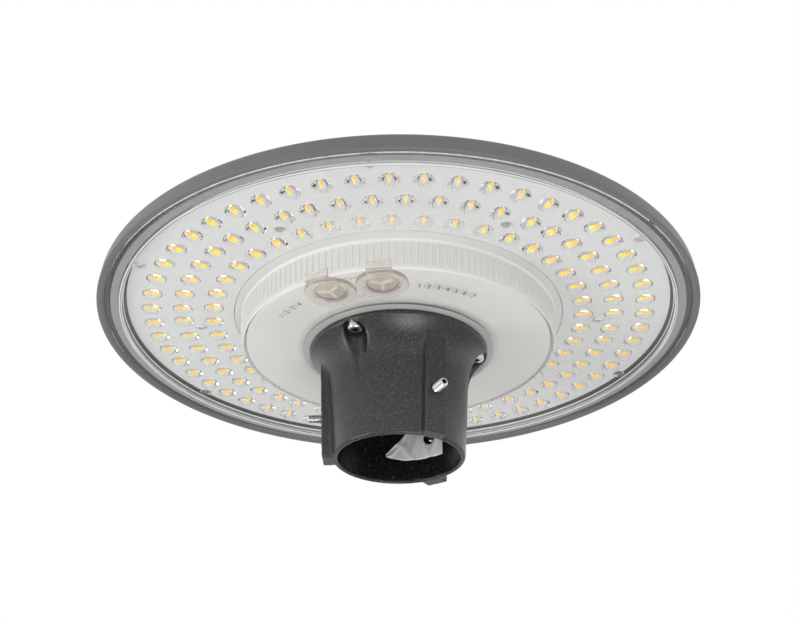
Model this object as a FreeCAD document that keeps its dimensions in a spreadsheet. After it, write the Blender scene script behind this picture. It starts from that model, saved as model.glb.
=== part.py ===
import FreeCAD, Part
import math
import os
import Sketcher

# LED street light head for the top of a post.
# The origin is the centre of the socket's mouth, which is also the lowest point.
# +Z is up, -Y is the front, and an angle is counted from the front towards +X.
# Every height that starts with "lip" is measured from the housing's lower lip.

DRIVING_SIZES = [
    ("lip_level", 94.0, "height of the housing's lower lip above the socket's mouth"),
    ("head_radius", 200.0, "outside of the housing at its lip"),
    ("lip_bevel", 2.0, "width of the bevel inside the lip"),
    ("lip_bevel_rise", 1.2, "height of that bevel"),
    ("side_height", 10.0, "upright side of the housing"),
    ("side_draft", 1.2, "casting draft of the side"),
    ("shoulder_width", 2.8, "shoulder between side and brim, along the radius"),
    ("shoulder_height", 2.2, "shoulder between side and brim, in height"),
    ("brim_rise", 2.6, "how far the brim climbs from the shoulder to the crown"),
    ("casting_wall", 3.0, "wall of the crown"),
    ("crown_side", 13.0, "steep side of the crown"),
    ("crown_lean", 4.0, "lean of the crown's steep side"),
    ("crown_dome", 26.0, "dome of the crown over its side"),
    ("lip_width", 4.8, "lip's wall outside the lens cover"),
    ("cover_gap", 0.4, "gap between the lens cover and the lip"),
    ("cover_wall", 2.0, "lens cover's wall"),
    ("rim_rise", 0.6, "underside of the cover's rim above the lip"),
    ("rim_width", 11.2, "width of the cover's flat rim"),
    ("plate_rise", 4.8, "underside of the lens plate above the lip"),
    ("bulge_radius", 105.3, "ribbed bulge at its root"),
    ("bulge_draft", 1.0, "draft of the bulge's wall"),
    ("bulge_root", 2.0, "rounding between plate and bulge"),
    ("bulge_drop", 16.0, "face of the bulge below the lip"),
    ("bulge_edge", 3.0, "rounding round the bulge's face"),
    ("flute_count", 150, "ribs round the bulge"),
    ("flute_height", 0.9, "height of a rib"),
    ("flute_width", 1.1, "width of a rib at its foot"),
    ("flute_root", 0.05, "flats between the ribs over the plain wall"),
    ("flute_margin", 0.6, "plain wall above and below the ribs"),
    ("lens_from_bulge", 19.2, "inner ring of lenses outside the bulge"),
    ("lens_from_edge", 16.4, "outer ring of lenses inside the board's edge"),
    ("lens_count_inner", 42, "lenses in the inner ring"),
    ("lens_count_middle", 48, "lenses in the middle ring"),
    ("lens_count_outer", 54, "lenses in the outer ring"),
    ("lens_radius", 6.4, "foot of a lens"),
    ("lens_crown", 3.9, "flat top of a lens"),
    ("lens_height", 3.4, "height of a lens under the plate"),
    ("board_from_bulge", 5.7, "board's inner edge outside the bulge"),
    ("board_from_seal", 4.9, "board's outer edge inside the seal"),
    ("board_thickness", 1.6, "aluminium LED board"),
    ("led_width", 2.8, "LED across the ring"),
    ("led_length", 3.5, "LED along the radius"),
    ("led_height", 0.7, "height of an LED"),
    ("led_spacing", 0.4, "gap between the two LEDs of a lens"),
    ("led_clearance", 0.4, "air between an LED and the lens plate"),
    ("seal_width", 4.8, "width of the rim seal"),
    ("seal_height", 3.2, "height of the rim seal"),
    ("seal_clearance", 0.8, "room between the seal and the cover's upstand"),
    ("board_screw_edge", 3.2, "outer board screws inside the board's edge"),
    ("board_screw_radius", 1.5, "shank of a board screw"),
    ("board_screw_bite", 2.4, "board screw's length in the housing"),
    ("board_head_radius", 2.7, "head of a board screw"),
    ("board_head_height", 1.7, "height of that head"),
    ("pocket_wall", 1.1, "lens cover's wall round a board screw's head"),
    ("pocket_draft", 0.4, "draft of that wall"),
    ("pocket_clearance", 0.6, "air round a board screw's head"),
    ("bore_radius", 39.0, "socket for a 76 mm post"),
    ("bore_depth", 64.0, "post's depth in the socket"),
    ("mouth_wall", 3.4, "socket's wall at its mouth"),
    ("neck_wall", 6.8, "socket's wall where the flare starts"),
    ("neck_level", 49.0, "height at which the flare starts"),
    ("flange_radius", 59.4, "adapter's flange"),
    ("flange_rim", 3.0, "flange's rim in height"),
    ("flare_radius", 34.0, "concave flare under the flange"),
    ("throat_radius", 30.0, "opening over the post's stop"),
    ("pad_width", 15.0, "width of a clamping pad"),
    ("pad_depth", 10.0, "face of a pad outside the bore, at the mouth"),
    ("pad_draft", 2.5, "draft of a pad's face"),
    ("pad_drop", 7.2, "top of a pad below the flange"),
    ("pad_angle", 28.0, "angle of the first pad from the front"),
    ("clamp_level", 29.5, "height of the clamping screws"),
    ("clamp_radius", 3.0, "clamping screw, M6"),
    ("clamp_length", 20.0, "length of a clamping screw"),
    ("clamp_point", 1.5, "its cone point"),
    ("clamp_point_radius", 1.5, "flat end of its cone point"),
    ("clamp_setback", 0.4, "point outside the bore when it is backed out"),
    ("thread_clearance", 0.05, "running clearance round a screw in its thread"),
    ("key_radius", 1.73, "hexagon socket of a clamping screw, to its corners"),
    ("key_depth", 3.0, "depth of that socket"),
    ("fixing_edge", 7.4, "fixing screws inside the flange's edge"),
    ("fixing_radius", 2.5, "fixing screw, M5"),
    ("fixing_clearance", 0.25, "clearance round a fixing screw"),
    ("fixing_bite", 14.0, "fixing screw's length in its boss"),
    ("fixing_head_radius", 4.9, "head of a fixing screw"),
    ("fixing_head_height", 5.0, "height of that head"),
    ("fixing_key_radius", 2.3, "hexagon socket of a fixing screw, to its corners"),
    ("fixing_key_depth", 2.5, "depth of that socket"),
    ("recess_floor", 1.8, "flange left over a fixing screw's head"),
    ("recess_radius", 7.5, "tool recess beside a fixing screw"),
    ("recess_fade", 20.0, "height of the tool recess's lower end"),
    ("boss_radius", 6.0, "housing's boss for a fixing screw"),
    ("boss_clearance", 0.1, "boss end above the lens cover's face"),
    ("boss_root", 1.8, "boss's end inside the crown's wall"),
    ("gasket_lip", 4.0, "flange gasket outside the flange"),
    ("gasket_thickness", 0.8, "flange gasket's thickness"),
    ("tray_gap", 0.7, "air between the tray and the cover's wall"),
    ("tray_flange_gap", 0.4, "air between the tray's flange and the LED board"),
    ("tray_wall", 1.6, "tray's wall"),
    ("tray_clearance", 0.3, "tray above the lens cover's face"),
    ("tray_slot", 0.5, "clearance of the tray's holes"),
    ("gland_radius", 10.0, "cable gland's thread"),
    ("gland_clearance", 0.3, "clearance round the gland"),
    ("gland_flats", 12.5, "gland's hexagons, to their corners"),
    ("gland_nut", 8.0, "gland's nut under the face"),
    ("gland_locknut", 3.0, "gland's locknut over the face"),
    ("cable_radius", 5.0, "gland's opening for the supply cable"),
    ("selector_edge", 14.5, "selector dials inside the bulge's edge"),
    ("selector_body", 17.0, "side of a selector switch"),
    ("selector_height", 8.0, "height of a selector switch"),
    ("dial_radius", 9.3, "selector dial"),
    ("dial_thickness", 1.4, "plate of a dial"),
    ("dial_grip", 1.3, "height of a dial's grip"),
    ("grip_width", 2.2, "width of a grip's blade"),
    ("grip_margin", 1.3, "dial's plate outside the ends of the blades"),
    ("spindle_radius", 3.0, "dial's spindle"),
    ("spindle_length", 7.0, "dial's spindle"),
    ("spindle_clearance", 0.05, "running clearance round the spindle"),
    ("spindle_end", 0.3, "bore of the switch beyond the spindle"),
    ("dial_clearance", 0.4, "air between dial and cap"),
    ("cap_radius", 16.2, "clear cap over a dial"),
    ("cap_height", 2.4, "cap below the face"),
    ("cap_skin", 1.0, "cap's front wall"),
    ("cap_bore", 10.0, "hollow of a cap"),
    ("cap_neck", 11.0, "cap's neck in the lens cover"),
    ("cap_hole", 11.2, "lens cover's hole for the neck"),
    ("strap_thickness", 0.9, "strap between the caps"),
    ("strap_width", 22.0, "strap between the caps"),
    ("hook_width", 15.5, "cap's hook over the bulge's edge"),
    ("hook_wall", 1.3, "thickness of a hook"),
    ("hook_reach", 5.0, "hook's length up the ribbed wall"),
    ("hook_clearance", 0.3, "hook outside the ribs"),
    ("driver_length", 86.0, "driver"),
    ("driver_width", 36.0, "driver"),
    ("driver_height", 26.0, "driver"),
    ("driver_margin", 14.0, "driver's far side inside the bay"),
    ("ear_length", 7.0, "driver's fixing ear"),
    ("ear_width", 18.0, "driver's fixing ear"),
    ("ear_thickness", 2.0, "driver's fixing ear"),
    ("ear_screw_radius", 1.5, "driver screw"),
    ("surge_length", 42.0, "surge protector"),
    ("surge_width", 24.0, "surge protector"),
    ("surge_height", 20.0, "surge protector"),
    ("surge_margin", 2.0, "surge protector outside a fixing boss"),
    ("terminal_length", 32.0, "terminal block"),
    ("terminal_width", 17.0, "terminal block"),
    ("terminal_height", 15.0, "terminal block"),
    ("terminal_offset", 19.0, "terminal block's near side from the axis"),
    ("terminal_pitch", 10.0, "spacing of the terminal ways"),
    ("terminal_screw", 2.2, "terminal screw's well"),
    ("terminal_well", 7.5, "depth of that well"),
    ("label_width", 41.8, "blank label, round the bore"),
    ("label_height", 20.0, "blank label"),
    ("label_level", 15.5, "label's lower edge over the mouth"),
    ("label_thickness", 0.12, "label"),
    ("label_gap", 0.03, "label off the bore's wall"),
    ("label_margin", 1.2, "label's edge round the hole of a clamping screw"),
    ("label_angle", 162.6, "label's place from the front"),
]

LENS_PHASES = (-1.7, 1.7, -1.7)
INNER_SCREW_ANGLE = 28.3
OUTER_SCREW_ANGLE = -5.1
SCREWS_PER_CIRCLE = 6
LENS_DODGE = 1.0
LENS_SIDES = 6
PEG_SIDES = 6
SCREW_SIDES = 12
DISC_SIDES = 32
HEXAGON_SIDES = 6
GROOVE_SIDES = 20
CROWN_BANDS = 3
FLARE_BANDS = 3
PADS = 3
DIAL_ANGLES = {"power": -27.5, "colour": -6.2}
GRIP_BLADES = 3
DRIVER_ANGLE = 148.0
SURGE_ANGLE = -152.0
TERMINAL_ANGLE = 28.0
OVERLAP = 0.3
CUT_MARGIN = 1.0

doc = FreeCAD.newDocument("street_light_head")
sheet = doc.addObject("Spreadsheet::Sheet", "Sizes")


class Size:
    """A length that carries its formula over the sheet and its value in millimetres."""

    def __init__(self, formula, value):
        self.formula = formula
        self.value = value

    def join(self, sign, other, value):
        return Size("(%s %s %s)" % (self.formula, sign, other.formula), value)

    def __add__(self, other):
        other = as_size(other)
        return self.join("+", other, self.value + other.value)

    def __sub__(self, other):
        other = as_size(other)
        return self.join("-", other, self.value - other.value)

    def __mul__(self, other):
        other = as_size(other)
        return self.join("*", other, self.value * other.value)

    def __truediv__(self, other):
        other = as_size(other)
        return self.join("/", other, self.value / other.value)

    def root(self):
        return Size("sqrt(%s)" % self.formula, math.sqrt(self.value))


def as_size(number):
    """Plain numbers join sizes in a formula."""
    return number if isinstance(number, Size) else Size(repr(float(number)), float(number))


class Dimensions:
    """The driving sizes by name."""


dim = Dimensions()
for row, (alias, number, note) in enumerate(DRIVING_SIZES, start=1):
    sheet.set("A%d" % row, note)
    sheet.set("B%d" % row, str(number))
    sheet.setAlias("B%d" % row, alias)
doc.recompute()
for alias, number, note in DRIVING_SIZES:
    setattr(dim, alias, Size("Sizes." + alias, float(sheet.get(alias))))

# Levels and radii that follow from the driving sizes.
lip = dim.lip_level
mouth = as_size(0)
face_level = lip - dim.bulge_drop
face_inside = face_level + dim.cover_wall
plate_level = lip + dim.plate_rise
plate_top = plate_level + dim.cover_wall
rim_level = lip + dim.rim_rise
rim_top = rim_level + dim.cover_wall
recess_wall = dim.head_radius - dim.lip_width
cover_radius = recess_wall - dim.cover_gap
led_level = plate_top + dim.led_clearance
board_level = led_level + dim.led_height
seat_level = board_level + dim.board_thickness
ledge_level = rim_top + dim.seal_height
upstand_inner = cover_radius - dim.rim_width
upstand_outer = upstand_inner + dim.cover_wall
seal_inner = upstand_outer + dim.seal_clearance
seal_outer = seal_inner + dim.seal_width
bulge_low_radius = dim.bulge_radius - dim.bulge_draft
board_inner = dim.bulge_radius + dim.board_from_bulge
board_outer = seal_inner - dim.board_from_seal
lens_ring_inner = dim.bulge_radius + dim.lens_from_bulge
lens_ring_outer = board_outer - dim.lens_from_edge
lens_ring_middle = (lens_ring_inner + lens_ring_outer) / 2
tray_radius = bulge_low_radius - dim.cover_wall - dim.tray_gap
tray_flange = board_inner - dim.tray_flange_gap
bay_radius = tray_radius - dim.tray_wall
side_top = lip + dim.side_height
shoulder_top = side_top + dim.shoulder_height
brim_outer = dim.head_radius - dim.side_draft - dim.shoulder_width
crown_radius = bay_radius + dim.casting_wall
crown_foot = crown_radius + dim.crown_lean
crown_foot_level = shoulder_top + dim.brim_rise
crown_edge_level = crown_foot_level + dim.crown_side
crown_top = crown_edge_level + dim.crown_dome
bay_edge_level = crown_edge_level - dim.casting_wall
bay_top = crown_top - dim.casting_wall
gasket_level = face_level - dim.gasket_thickness
flange_level = gasket_level - dim.flange_rim
recess_level = gasket_level - dim.recess_floor
boss_level = face_inside + dim.boss_clearance
tray_level = face_inside + dim.tray_clearance
tray_floor = tray_level + dim.tray_wall
cap_front = face_level - dim.cap_height
dial_front = cap_front + dim.cap_skin + dim.dial_clearance
dial_plate = dial_front + dim.dial_grip
dial_back = dial_plate + dim.dial_thickness
selector_top = tray_floor + dim.selector_height
bulge_wall_foot = face_level + dim.bulge_edge
bulge_wall_top = plate_level - dim.bulge_root
screw_circle = {"inner": (lens_ring_inner + lens_ring_middle) / 2,
                "outer": board_outer - dim.board_screw_edge}
mouth_radius = dim.bore_radius + dim.mouth_wall
neck_radius = dim.bore_radius + dim.neck_wall
pad_radius = dim.bore_radius + dim.pad_depth
pad_height = flange_level - dim.pad_drop
clamp_tip = dim.bore_radius + dim.clamp_setback
fixing_circle = dim.flange_radius - dim.fixing_edge
gasket_radius = dim.flange_radius + dim.gasket_lip
selector_circle = bulge_low_radius - dim.selector_edge
driver_offset = bay_radius - dim.driver_margin - dim.driver_width
surge_offset = fixing_circle + dim.boss_radius + dim.surge_margin
fixing_hole = dim.fixing_radius + dim.fixing_clearance
board_screw_hole = dim.board_screw_radius + dim.thread_clearance
ear_screw_hole = dim.ear_screw_radius + dim.thread_clearance


def dome_radius(half_width, rise):
    """Radius of the arc over a half width with its highest point on the axis."""
    return (half_width * half_width + rise * rise) / (rise * 2)


def at_angle(radius, degrees, height=0.0):
    """Point at a radius and an angle from the front."""
    turn = math.radians(degrees)
    return FreeCAD.Vector(radius * math.sin(turn), -radius * math.cos(turn), height)


def turned_point(point, degrees):
    """Point turned about the head's axis."""
    return FreeCAD.Rotation(FreeCAD.Vector(0, 0, 1), degrees).multVec(point)


def turned(shape, degrees):
    """Copy of a shape turned about the head's axis."""
    copy = shape.copy()
    copy.rotate(FreeCAD.Vector(0, 0, 0), FreeCAD.Vector(0, 0, 1), degrees)
    return copy


def arc_corners(start, end, radius, bands, side):
    """Corners between start and end on an arc that is made of straight bands.
    side is 1 where the arc passes left of the straight way and -1 where it passes right."""
    across = end[0] - start[0]
    rise = end[1] - start[1]
    chord = (across * across + rise * rise).root()
    centre_distance = (radius * radius - chord * chord / 4).root()
    corners = []
    for band in range(1, bands):
        share = band / bands
        reach = chord * (share - 0.5)
        bow = ((radius * radius - reach * reach).root() - centre_distance) * side
        corners.append((start[0] + across * share - rise / chord * bow,
                        start[1] + rise * share + across / chord * bow))
    return corners


def sketch_outline(sketch, corners):
    """Closed outline through the corners. Every corner is tied to the sheet."""
    count = len(corners)
    points = [FreeCAD.Vector(x.value, y.value, 0) for x, y in corners]
    lines = [sketch.addGeometry(Part.LineSegment(points[number], points[(number + 1) % count]))
             for number in range(count)]
    for number, line in enumerate(lines):
        following = lines[(number + 1) % count]
        sketch.addConstraint(Sketcher.Constraint("Coincident", line, 2, following, 1))
        for kind, length in zip(("DistanceX", "DistanceY"), corners[number]):
            if kind == "DistanceX" and length.value == 0:
                sketch.addConstraint(Sketcher.Constraint("PointOnObject", line, 1, -2))
                continue
            fixed = sketch.addConstraint(Sketcher.Constraint(kind, -1, 1, line, 1, length.value))
            sketch.setExpression("Constraints[%d]" % fixed, length.formula)


def origin_plane(body, role):
    """One of a body's own planes."""
    return next(plane for plane in body.Origin.OriginFeatures if plane.Role == role)


def turned_body(label, corners):
    """Body made by turning an outline in radius and height about the axis."""
    body = doc.addObject("PartDesign::Body", label)
    body.Label = label
    sketch = body.newObject("Sketcher::SketchObject", label + "_outline")
    sketch.AttachmentSupport = [(origin_plane(body, "XZ_Plane"), "")]
    sketch.MapMode = "FlatFace"
    sketch_outline(sketch, [(as_size(x), as_size(y)) for x, y in corners])
    turning = body.newObject("PartDesign::Revolution", label + "_turning")
    turning.Profile = sketch
    turning.ReferenceAxis = (sketch, ["V_Axis"])
    turning.Angle = 360
    body.Tip = turning
    return body


def made_shape(label, shape):
    """Feature for a shape whose parts repeat."""
    feature = doc.addObject("Part::Feature", label)
    feature.Shape = shape
    feature.Placement = shape.Placement
    return feature


def fused(label, parts):
    """Parts joined to one piece."""
    feature = doc.addObject("Part::MultiFuse", label)
    feature.Shapes = parts
    feature.Label = label
    return feature


def cut(label, base, tool):
    """Base less tool."""
    feature = doc.addObject("Part::Cut", label)
    feature.Base = base
    feature.Tool = tool
    feature.Label = label
    return feature


def flat_sided(lower, upper):
    """Solid between two outlines with as many corners, whose sides are flat."""
    faces = [Part.Face(Part.makePolygon(ring + ring[:1])) for ring in (lower, upper)]
    for number in range(len(lower)):
        after = (number + 1) % len(lower)
        side = [lower[number], lower[after], upper[after], upper[number], lower[number]]
        faces.append(Part.Face(Part.makePolygon(side)))
    shell = Part.makeShell(faces)
    shell.sewShape()
    solid = Part.makeSolid(shell)
    return solid if solid.Volume > 0 else Part.makeSolid(shell.reversed())


def prism(radius, sides, low, high, place, top_radius=None):
    """Prism or frustum with regular ends, one corner away from the axis.
    Screws, pegs, holes and discs are made of few sides, because there are many."""
    outward = math.atan2(place.y, place.x) if place.Length else 0.0
    rings = []
    for height, corner_radius in ((low, radius), (high, top_radius or radius)):
        rings.append([FreeCAD.Vector(
            place.x + corner_radius * math.cos(outward + 2 * math.pi * corner / sides),
            place.y + corner_radius * math.sin(outward + 2 * math.pi * corner / sides),
            height) for corner in range(sides)])
    return flat_sided(*rings)


def round_clearance(radius, sides):
    """Corner radius of a hole whose flats clear a radius, so that a peg can turn in it."""
    return radius / math.cos(math.pi / sides)


def around(count, phase=0.0):
    """Evenly spaced angles."""
    return [phase + 360.0 * number / count for number in range(count)]


def screw_places(circle):
    """Places of the board screws on one circle."""
    phase = INNER_SCREW_ANGLE if circle == "inner" else OUTER_SCREW_ANGLE
    radius = screw_circle[circle].value
    return [at_angle(radius, angle) for angle in around(SCREWS_PER_CIRCLE, phase)]


def board_screw_places():
    """Places of all the board screws."""
    return screw_places("inner") + screw_places("outer")


def lens_places():
    """Angle and radius of every lens. One in each sixth of the middle ring makes way for a screw."""
    rings = ((lens_ring_inner, dim.lens_count_inner, LENS_PHASES[0]),
             (lens_ring_middle, dim.lens_count_middle, LENS_PHASES[1]),
             (lens_ring_outer, dim.lens_count_outer, LENS_PHASES[2]))
    places = []
    for number, (radius, count, phase) in enumerate(rings):
        pitch = 360.0 / count.value
        for angle in around(int(count.value), phase):
            past_screw = (angle - INNER_SCREW_ANGLE) % (360.0 / SCREWS_PER_CIRCLE)
            dodges = number == 1 and past_screw < pitch / 2
            places.append((radius.value, angle + (LENS_DODGE if dodges else 0.0)))
    return places


def fixing_angles():
    """Fixing screws stand midway between the clamping pads."""
    return around(PADS, dim.pad_angle.value - 180.0 / PADS)


def fixing_places():
    return [at_angle(fixing_circle.value, angle) for angle in fixing_angles()]


def dial_place(name):
    return at_angle(selector_circle.value, DIAL_ANGLES[name])


def dome_housing():
    """Cast housing: lip, recess for the lens cover, brim, crown and three long bosses."""
    crown_edge = (crown_radius, crown_edge_level)
    crown_middle = (as_size(0), crown_top)
    bay_edge = (bay_radius, bay_edge_level)
    bay_middle = (as_size(0), bay_top)
    crown_arc = dome_radius(crown_radius, dim.crown_dome)
    bay_arc = dome_radius(bay_radius, bay_top - bay_edge_level)
    shell = turned_body("housing_casting", [
        (recess_wall + dim.lip_bevel, lip),
        (dim.head_radius, lip),
        (dim.head_radius - dim.side_draft, side_top),
        (brim_outer, shoulder_top),
        (crown_foot, crown_foot_level),
        crown_edge, *arc_corners(crown_edge, crown_middle, crown_arc, CROWN_BANDS, -1),
        crown_middle,
        bay_middle, *arc_corners(bay_middle, bay_edge, bay_arc, CROWN_BANDS, 1),
        bay_edge,
        (bay_radius, seat_level),
        (seal_inner, seat_level),
        (seal_inner, ledge_level),
        (recess_wall, ledge_level),
        (recess_wall, lip + dim.lip_bevel_rise),
    ])
    reach = fixing_circle.value + dim.boss_radius.value
    roof_drop = bay_arc.value - math.sqrt(bay_arc.value ** 2 - reach ** 2)
    boss_top = bay_top.value - roof_drop + dim.boss_root.value
    bosses = []
    holes = []
    for place in fixing_places():
        bosses.append(prism(dim.boss_radius.value, PEG_SIDES, boss_level.value, boss_top, place))
        depth = boss_level.value + dim.fixing_bite.value + 2 * dim.fixing_clearance.value
        holes.append(prism(fixing_hole.value, PEG_SIDES, boss_level.value - CUT_MARGIN, depth,
                           place))
    for place in board_screw_places():
        depth = seat_level.value + dim.board_screw_bite.value + dim.fixing_clearance.value
        holes.append(prism(board_screw_hole.value, PEG_SIDES, seat_level.value - CUT_MARGIN,
                           depth, place))
    solid = fused("housing_with_bosses", [shell, made_shape("housing_bosses",
                                                            Part.makeCompound(bosses))])
    return cut("dome_housing", solid, made_shape("housing_holes", Part.makeCompound(holes)))


def bulge_ribs():
    """Ribbed ring on the bulge's wall: fine upright ribs that follow its draft."""
    half = dim.flute_width.value / 2
    draft = dim.bulge_draft.value / (bulge_wall_top.value - bulge_wall_foot.value)
    low = bulge_wall_foot.value + dim.flute_margin.value
    high = bulge_wall_top.value - dim.flute_margin.value
    rib_angles = around(int(dim.flute_count.value))
    outlines = []
    cores = []
    for height, margin in ((low, -CUT_MARGIN), (high, CUT_MARGIN)):
        wall = bulge_low_radius.value + (height - bulge_wall_foot.value) * draft
        root = wall + dim.flute_root.value
        profile = ((-half, root), (0, wall + dim.flute_height.value), (half, root))
        outlines.append([turned_point(FreeCAD.Vector(across, -reach, height), angle)
                         for angle in rib_angles for across, reach in profile])
        cores.append([at_angle(wall - dim.cover_wall.value / 2, angle, height + margin)
                      for angle in rib_angles])
    return flat_sided(*outlines).cut(flat_sided(*cores))


def lens_domes():
    """One small clear lens under each pair of LEDs."""
    low = plate_level.value - dim.lens_height.value
    high = plate_level.value + OVERLAP
    return [prism(dim.lens_crown.value, LENS_SIDES, low, high, at_angle(radius, angle),
                  dim.lens_radius.value)
            for radius, angle in lens_places()]


def lens_cover():
    """Clear moulding: rim, lens plate with its lenses, ribbed bulge and the holes in its face."""
    hole = dim.gland_radius + dim.gland_clearance
    shell = turned_body("cover_shell", [
        (cover_radius, rim_top),
        (cover_radius, rim_level),
        (upstand_inner, rim_level),
        (upstand_inner, plate_level),
        (dim.bulge_radius + dim.bulge_root, plate_level),
        (dim.bulge_radius, bulge_wall_top),
        (bulge_low_radius, bulge_wall_foot),
        (bulge_low_radius - dim.bulge_edge, face_level),
        (hole, face_level),
        (hole, face_inside),
        (bulge_low_radius - dim.cover_wall, face_inside),
        (dim.bulge_radius - dim.cover_wall, plate_top),
        (upstand_outer, plate_top),
        (upstand_outer, rim_top),
    ])
    pocket = dim.board_head_radius.value + dim.pocket_clearance.value
    wall = dim.pocket_wall.value
    head = board_level.value - dim.board_head_height.value
    pocket_level = head - dim.pocket_clearance.value
    bosses = [prism(pocket + wall - dim.pocket_draft.value, PEG_SIDES, pocket_level - wall,
                    plate_level.value + OVERLAP, place, pocket + wall)
              for place in board_screw_places()]
    doc.recompute()
    moulding = made_shape("cover_with_lenses",
                          shell.Shape.fuse(lens_domes() + bosses + bulge_ribs().Solids))
    openings = [prism(pocket, PEG_SIDES, pocket_level, plate_top.value + CUT_MARGIN, place)
                for place in board_screw_places()]
    below = face_level.value - CUT_MARGIN
    above = face_inside.value + CUT_MARGIN
    for name in DIAL_ANGLES:
        openings.append(prism(dim.cap_hole.value, DISC_SIDES, below, above, dial_place(name)))
    for place in fixing_places():
        openings.append(prism(fixing_hole.value, PEG_SIDES, below, above, place))
    return cut("lens_cover", moulding, made_shape("cover_openings", Part.makeCompound(openings)))


def rim_seal():
    """Silicone ring between the cover's rim and the housing's ledge."""
    return turned_body("rim_seal", [
        (seal_inner, rim_top), (seal_outer, rim_top),
        (seal_outer, ledge_level), (seal_inner, ledge_level)])


def led_board():
    """Aluminium board, bare but for its screw holes."""
    ring = turned_body("board_ring", [
        (board_inner, board_level), (board_outer, board_level),
        (board_outer, seat_level), (board_inner, seat_level)])
    holes = [prism(board_screw_hole.value, PEG_SIDES, board_level.value - CUT_MARGIN,
                   seat_level.value + CUT_MARGIN, place)
             for place in board_screw_places()]
    return cut("led_board", ring, made_shape("board_holes", Part.makeCompound(holes)))


def led_chips(label, side):
    """One LED of each lens: side is 1 for the outer one and -1 for the inner one."""
    width = dim.led_width.value
    length = dim.led_length.value
    middle = side * (length + dim.led_spacing.value) / 2
    chips = []
    for radius, angle in lens_places():
        corner = FreeCAD.Vector(-width / 2, -(radius + middle) - length / 2, led_level.value)
        chips.append(turned(Part.makeBox(width, length, dim.led_height.value, corner), angle))
    return made_shape(label, Part.makeCompound(chips))


def board_screws():
    """Pan head screws that hold the board to the housing."""
    screws = []
    for place in board_screw_places():
        head = prism(dim.board_head_radius.value, PEG_SIDES,
                     board_level.value - dim.board_head_height.value, board_level.value, place)
        shank = prism(dim.board_screw_radius.value, PEG_SIDES, board_level.value,
                      seat_level.value + dim.board_screw_bite.value, place)
        screws.append(head.fuse(shank).removeSplitter())
    return made_shape("board_screws", Part.makeCompound(screws))


def driver_tray():
    """White tray inside the bulge. It carries the driver and the selectors on its floor and
    meets the LED board with its flange, so nothing dark shows behind the clear cover."""
    centre = dim.gland_flats + dim.tray_slot
    inner_wall = tray_radius - dim.tray_wall
    shell = turned_body("tray_shell", [
        (centre, tray_level), (tray_radius, tray_level), (tray_radius, board_level),
        (tray_flange, board_level), (tray_flange, seat_level), (inner_wall, seat_level),
        (inner_wall, tray_floor), (centre, tray_floor)])
    low = tray_level.value - CUT_MARGIN
    high = tray_floor.value + CUT_MARGIN
    slot = dim.tray_slot.value
    holes = [prism(dim.boss_radius.value + slot, PEG_SIDES, low, high, place)
             for place in fixing_places()]
    for name in DIAL_ANGLES:
        holes.append(prism(dim.spindle_radius.value + slot, SCREW_SIDES, low, high,
                           dial_place(name)))
    for place in driver_screw_places():
        holes.append(prism(ear_screw_hole.value, PEG_SIDES, low, high, place))
    return cut("driver_tray", shell, made_shape("tray_holes", Part.makeCompound(holes)))


def block(length, width, height, offset, angle, low):
    """Block whose near side stands at an offset from the axis."""
    corner = FreeCAD.Vector(-length / 2, -offset - width, low)
    return turned(Part.makeBox(length, width, height, corner), angle)


def driver_screw_places():
    """Middle of the driver's two ears."""
    reach = (dim.driver_length.value + dim.ear_length.value) / 2
    middle = driver_offset.value + dim.driver_width.value / 2
    places = []
    for side in (-1, 1):
        point = FreeCAD.Vector(side * reach, -middle, 0)
        places.append(turned_point(point, DRIVER_ANGLE))
    return places


def driver():
    """Potted driver with an ear at each end."""
    case = block(dim.driver_length.value, dim.driver_width.value, dim.driver_height.value,
                 driver_offset.value, DRIVER_ANGLE, tray_floor.value)
    upright_edges = [edge for edge in case.Edges
                     if abs(edge.Vertexes[0].Z - edge.Vertexes[-1].Z) > OVERLAP]
    case = case.makeChamfer(dim.ear_thickness.value, upright_edges)
    middle = driver_offset.value + dim.driver_width.value / 2
    ears = block(dim.driver_length.value + 2 * dim.ear_length.value,
                 dim.ear_width.value, dim.ear_thickness.value,
                 middle - dim.ear_width.value / 2, DRIVER_ANGLE, tray_floor.value)
    solid = case.fuse(ears)
    for place in driver_screw_places():
        solid = solid.cut(prism(
            ear_screw_hole.value, PEG_SIDES, tray_floor.value - CUT_MARGIN,
            tray_floor.value + dim.ear_thickness.value + CUT_MARGIN, place))
    return made_shape("driver", solid.removeSplitter())


def driver_screws():
    """Screws through the driver's ears into the tray."""
    ear_top = tray_floor.value + dim.ear_thickness.value
    screws = []
    for place in driver_screw_places():
        head = prism(dim.board_head_radius.value, SCREW_SIDES, ear_top,
                     ear_top + dim.board_head_height.value, place)
        shank = prism(dim.ear_screw_radius.value, PEG_SIDES, tray_level.value, ear_top, place)
        screws.append(head.fuse(shank).removeSplitter())
    return made_shape("driver_screws", Part.makeCompound(screws))


def surge_protector():
    """Surge protector on the tray."""
    return made_shape("surge_protector", block(
        dim.surge_length.value, dim.surge_width.value, dim.surge_height.value,
        surge_offset.value, SURGE_ANGLE, tray_floor.value))


def terminal_block():
    """Three-way block for the supply cable, with its screw wells."""
    body = block(dim.terminal_length.value, dim.terminal_width.value, dim.terminal_height.value,
                 dim.terminal_offset.value, TERMINAL_ANGLE, tray_floor.value)
    top = tray_floor.value + dim.terminal_height.value
    middle = dim.terminal_offset.value + dim.terminal_width.value / 2
    for way in (-1, 0, 1):
        point = FreeCAD.Vector(way * dim.terminal_pitch.value, -middle, 0)
        place = turned_point(point, TERMINAL_ANGLE)
        well = prism(dim.terminal_screw.value, PEG_SIDES,
                     top - dim.terminal_well.value, top + CUT_MARGIN, place)
        body = body.cut(well)
    return made_shape("terminal_block", body)


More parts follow.
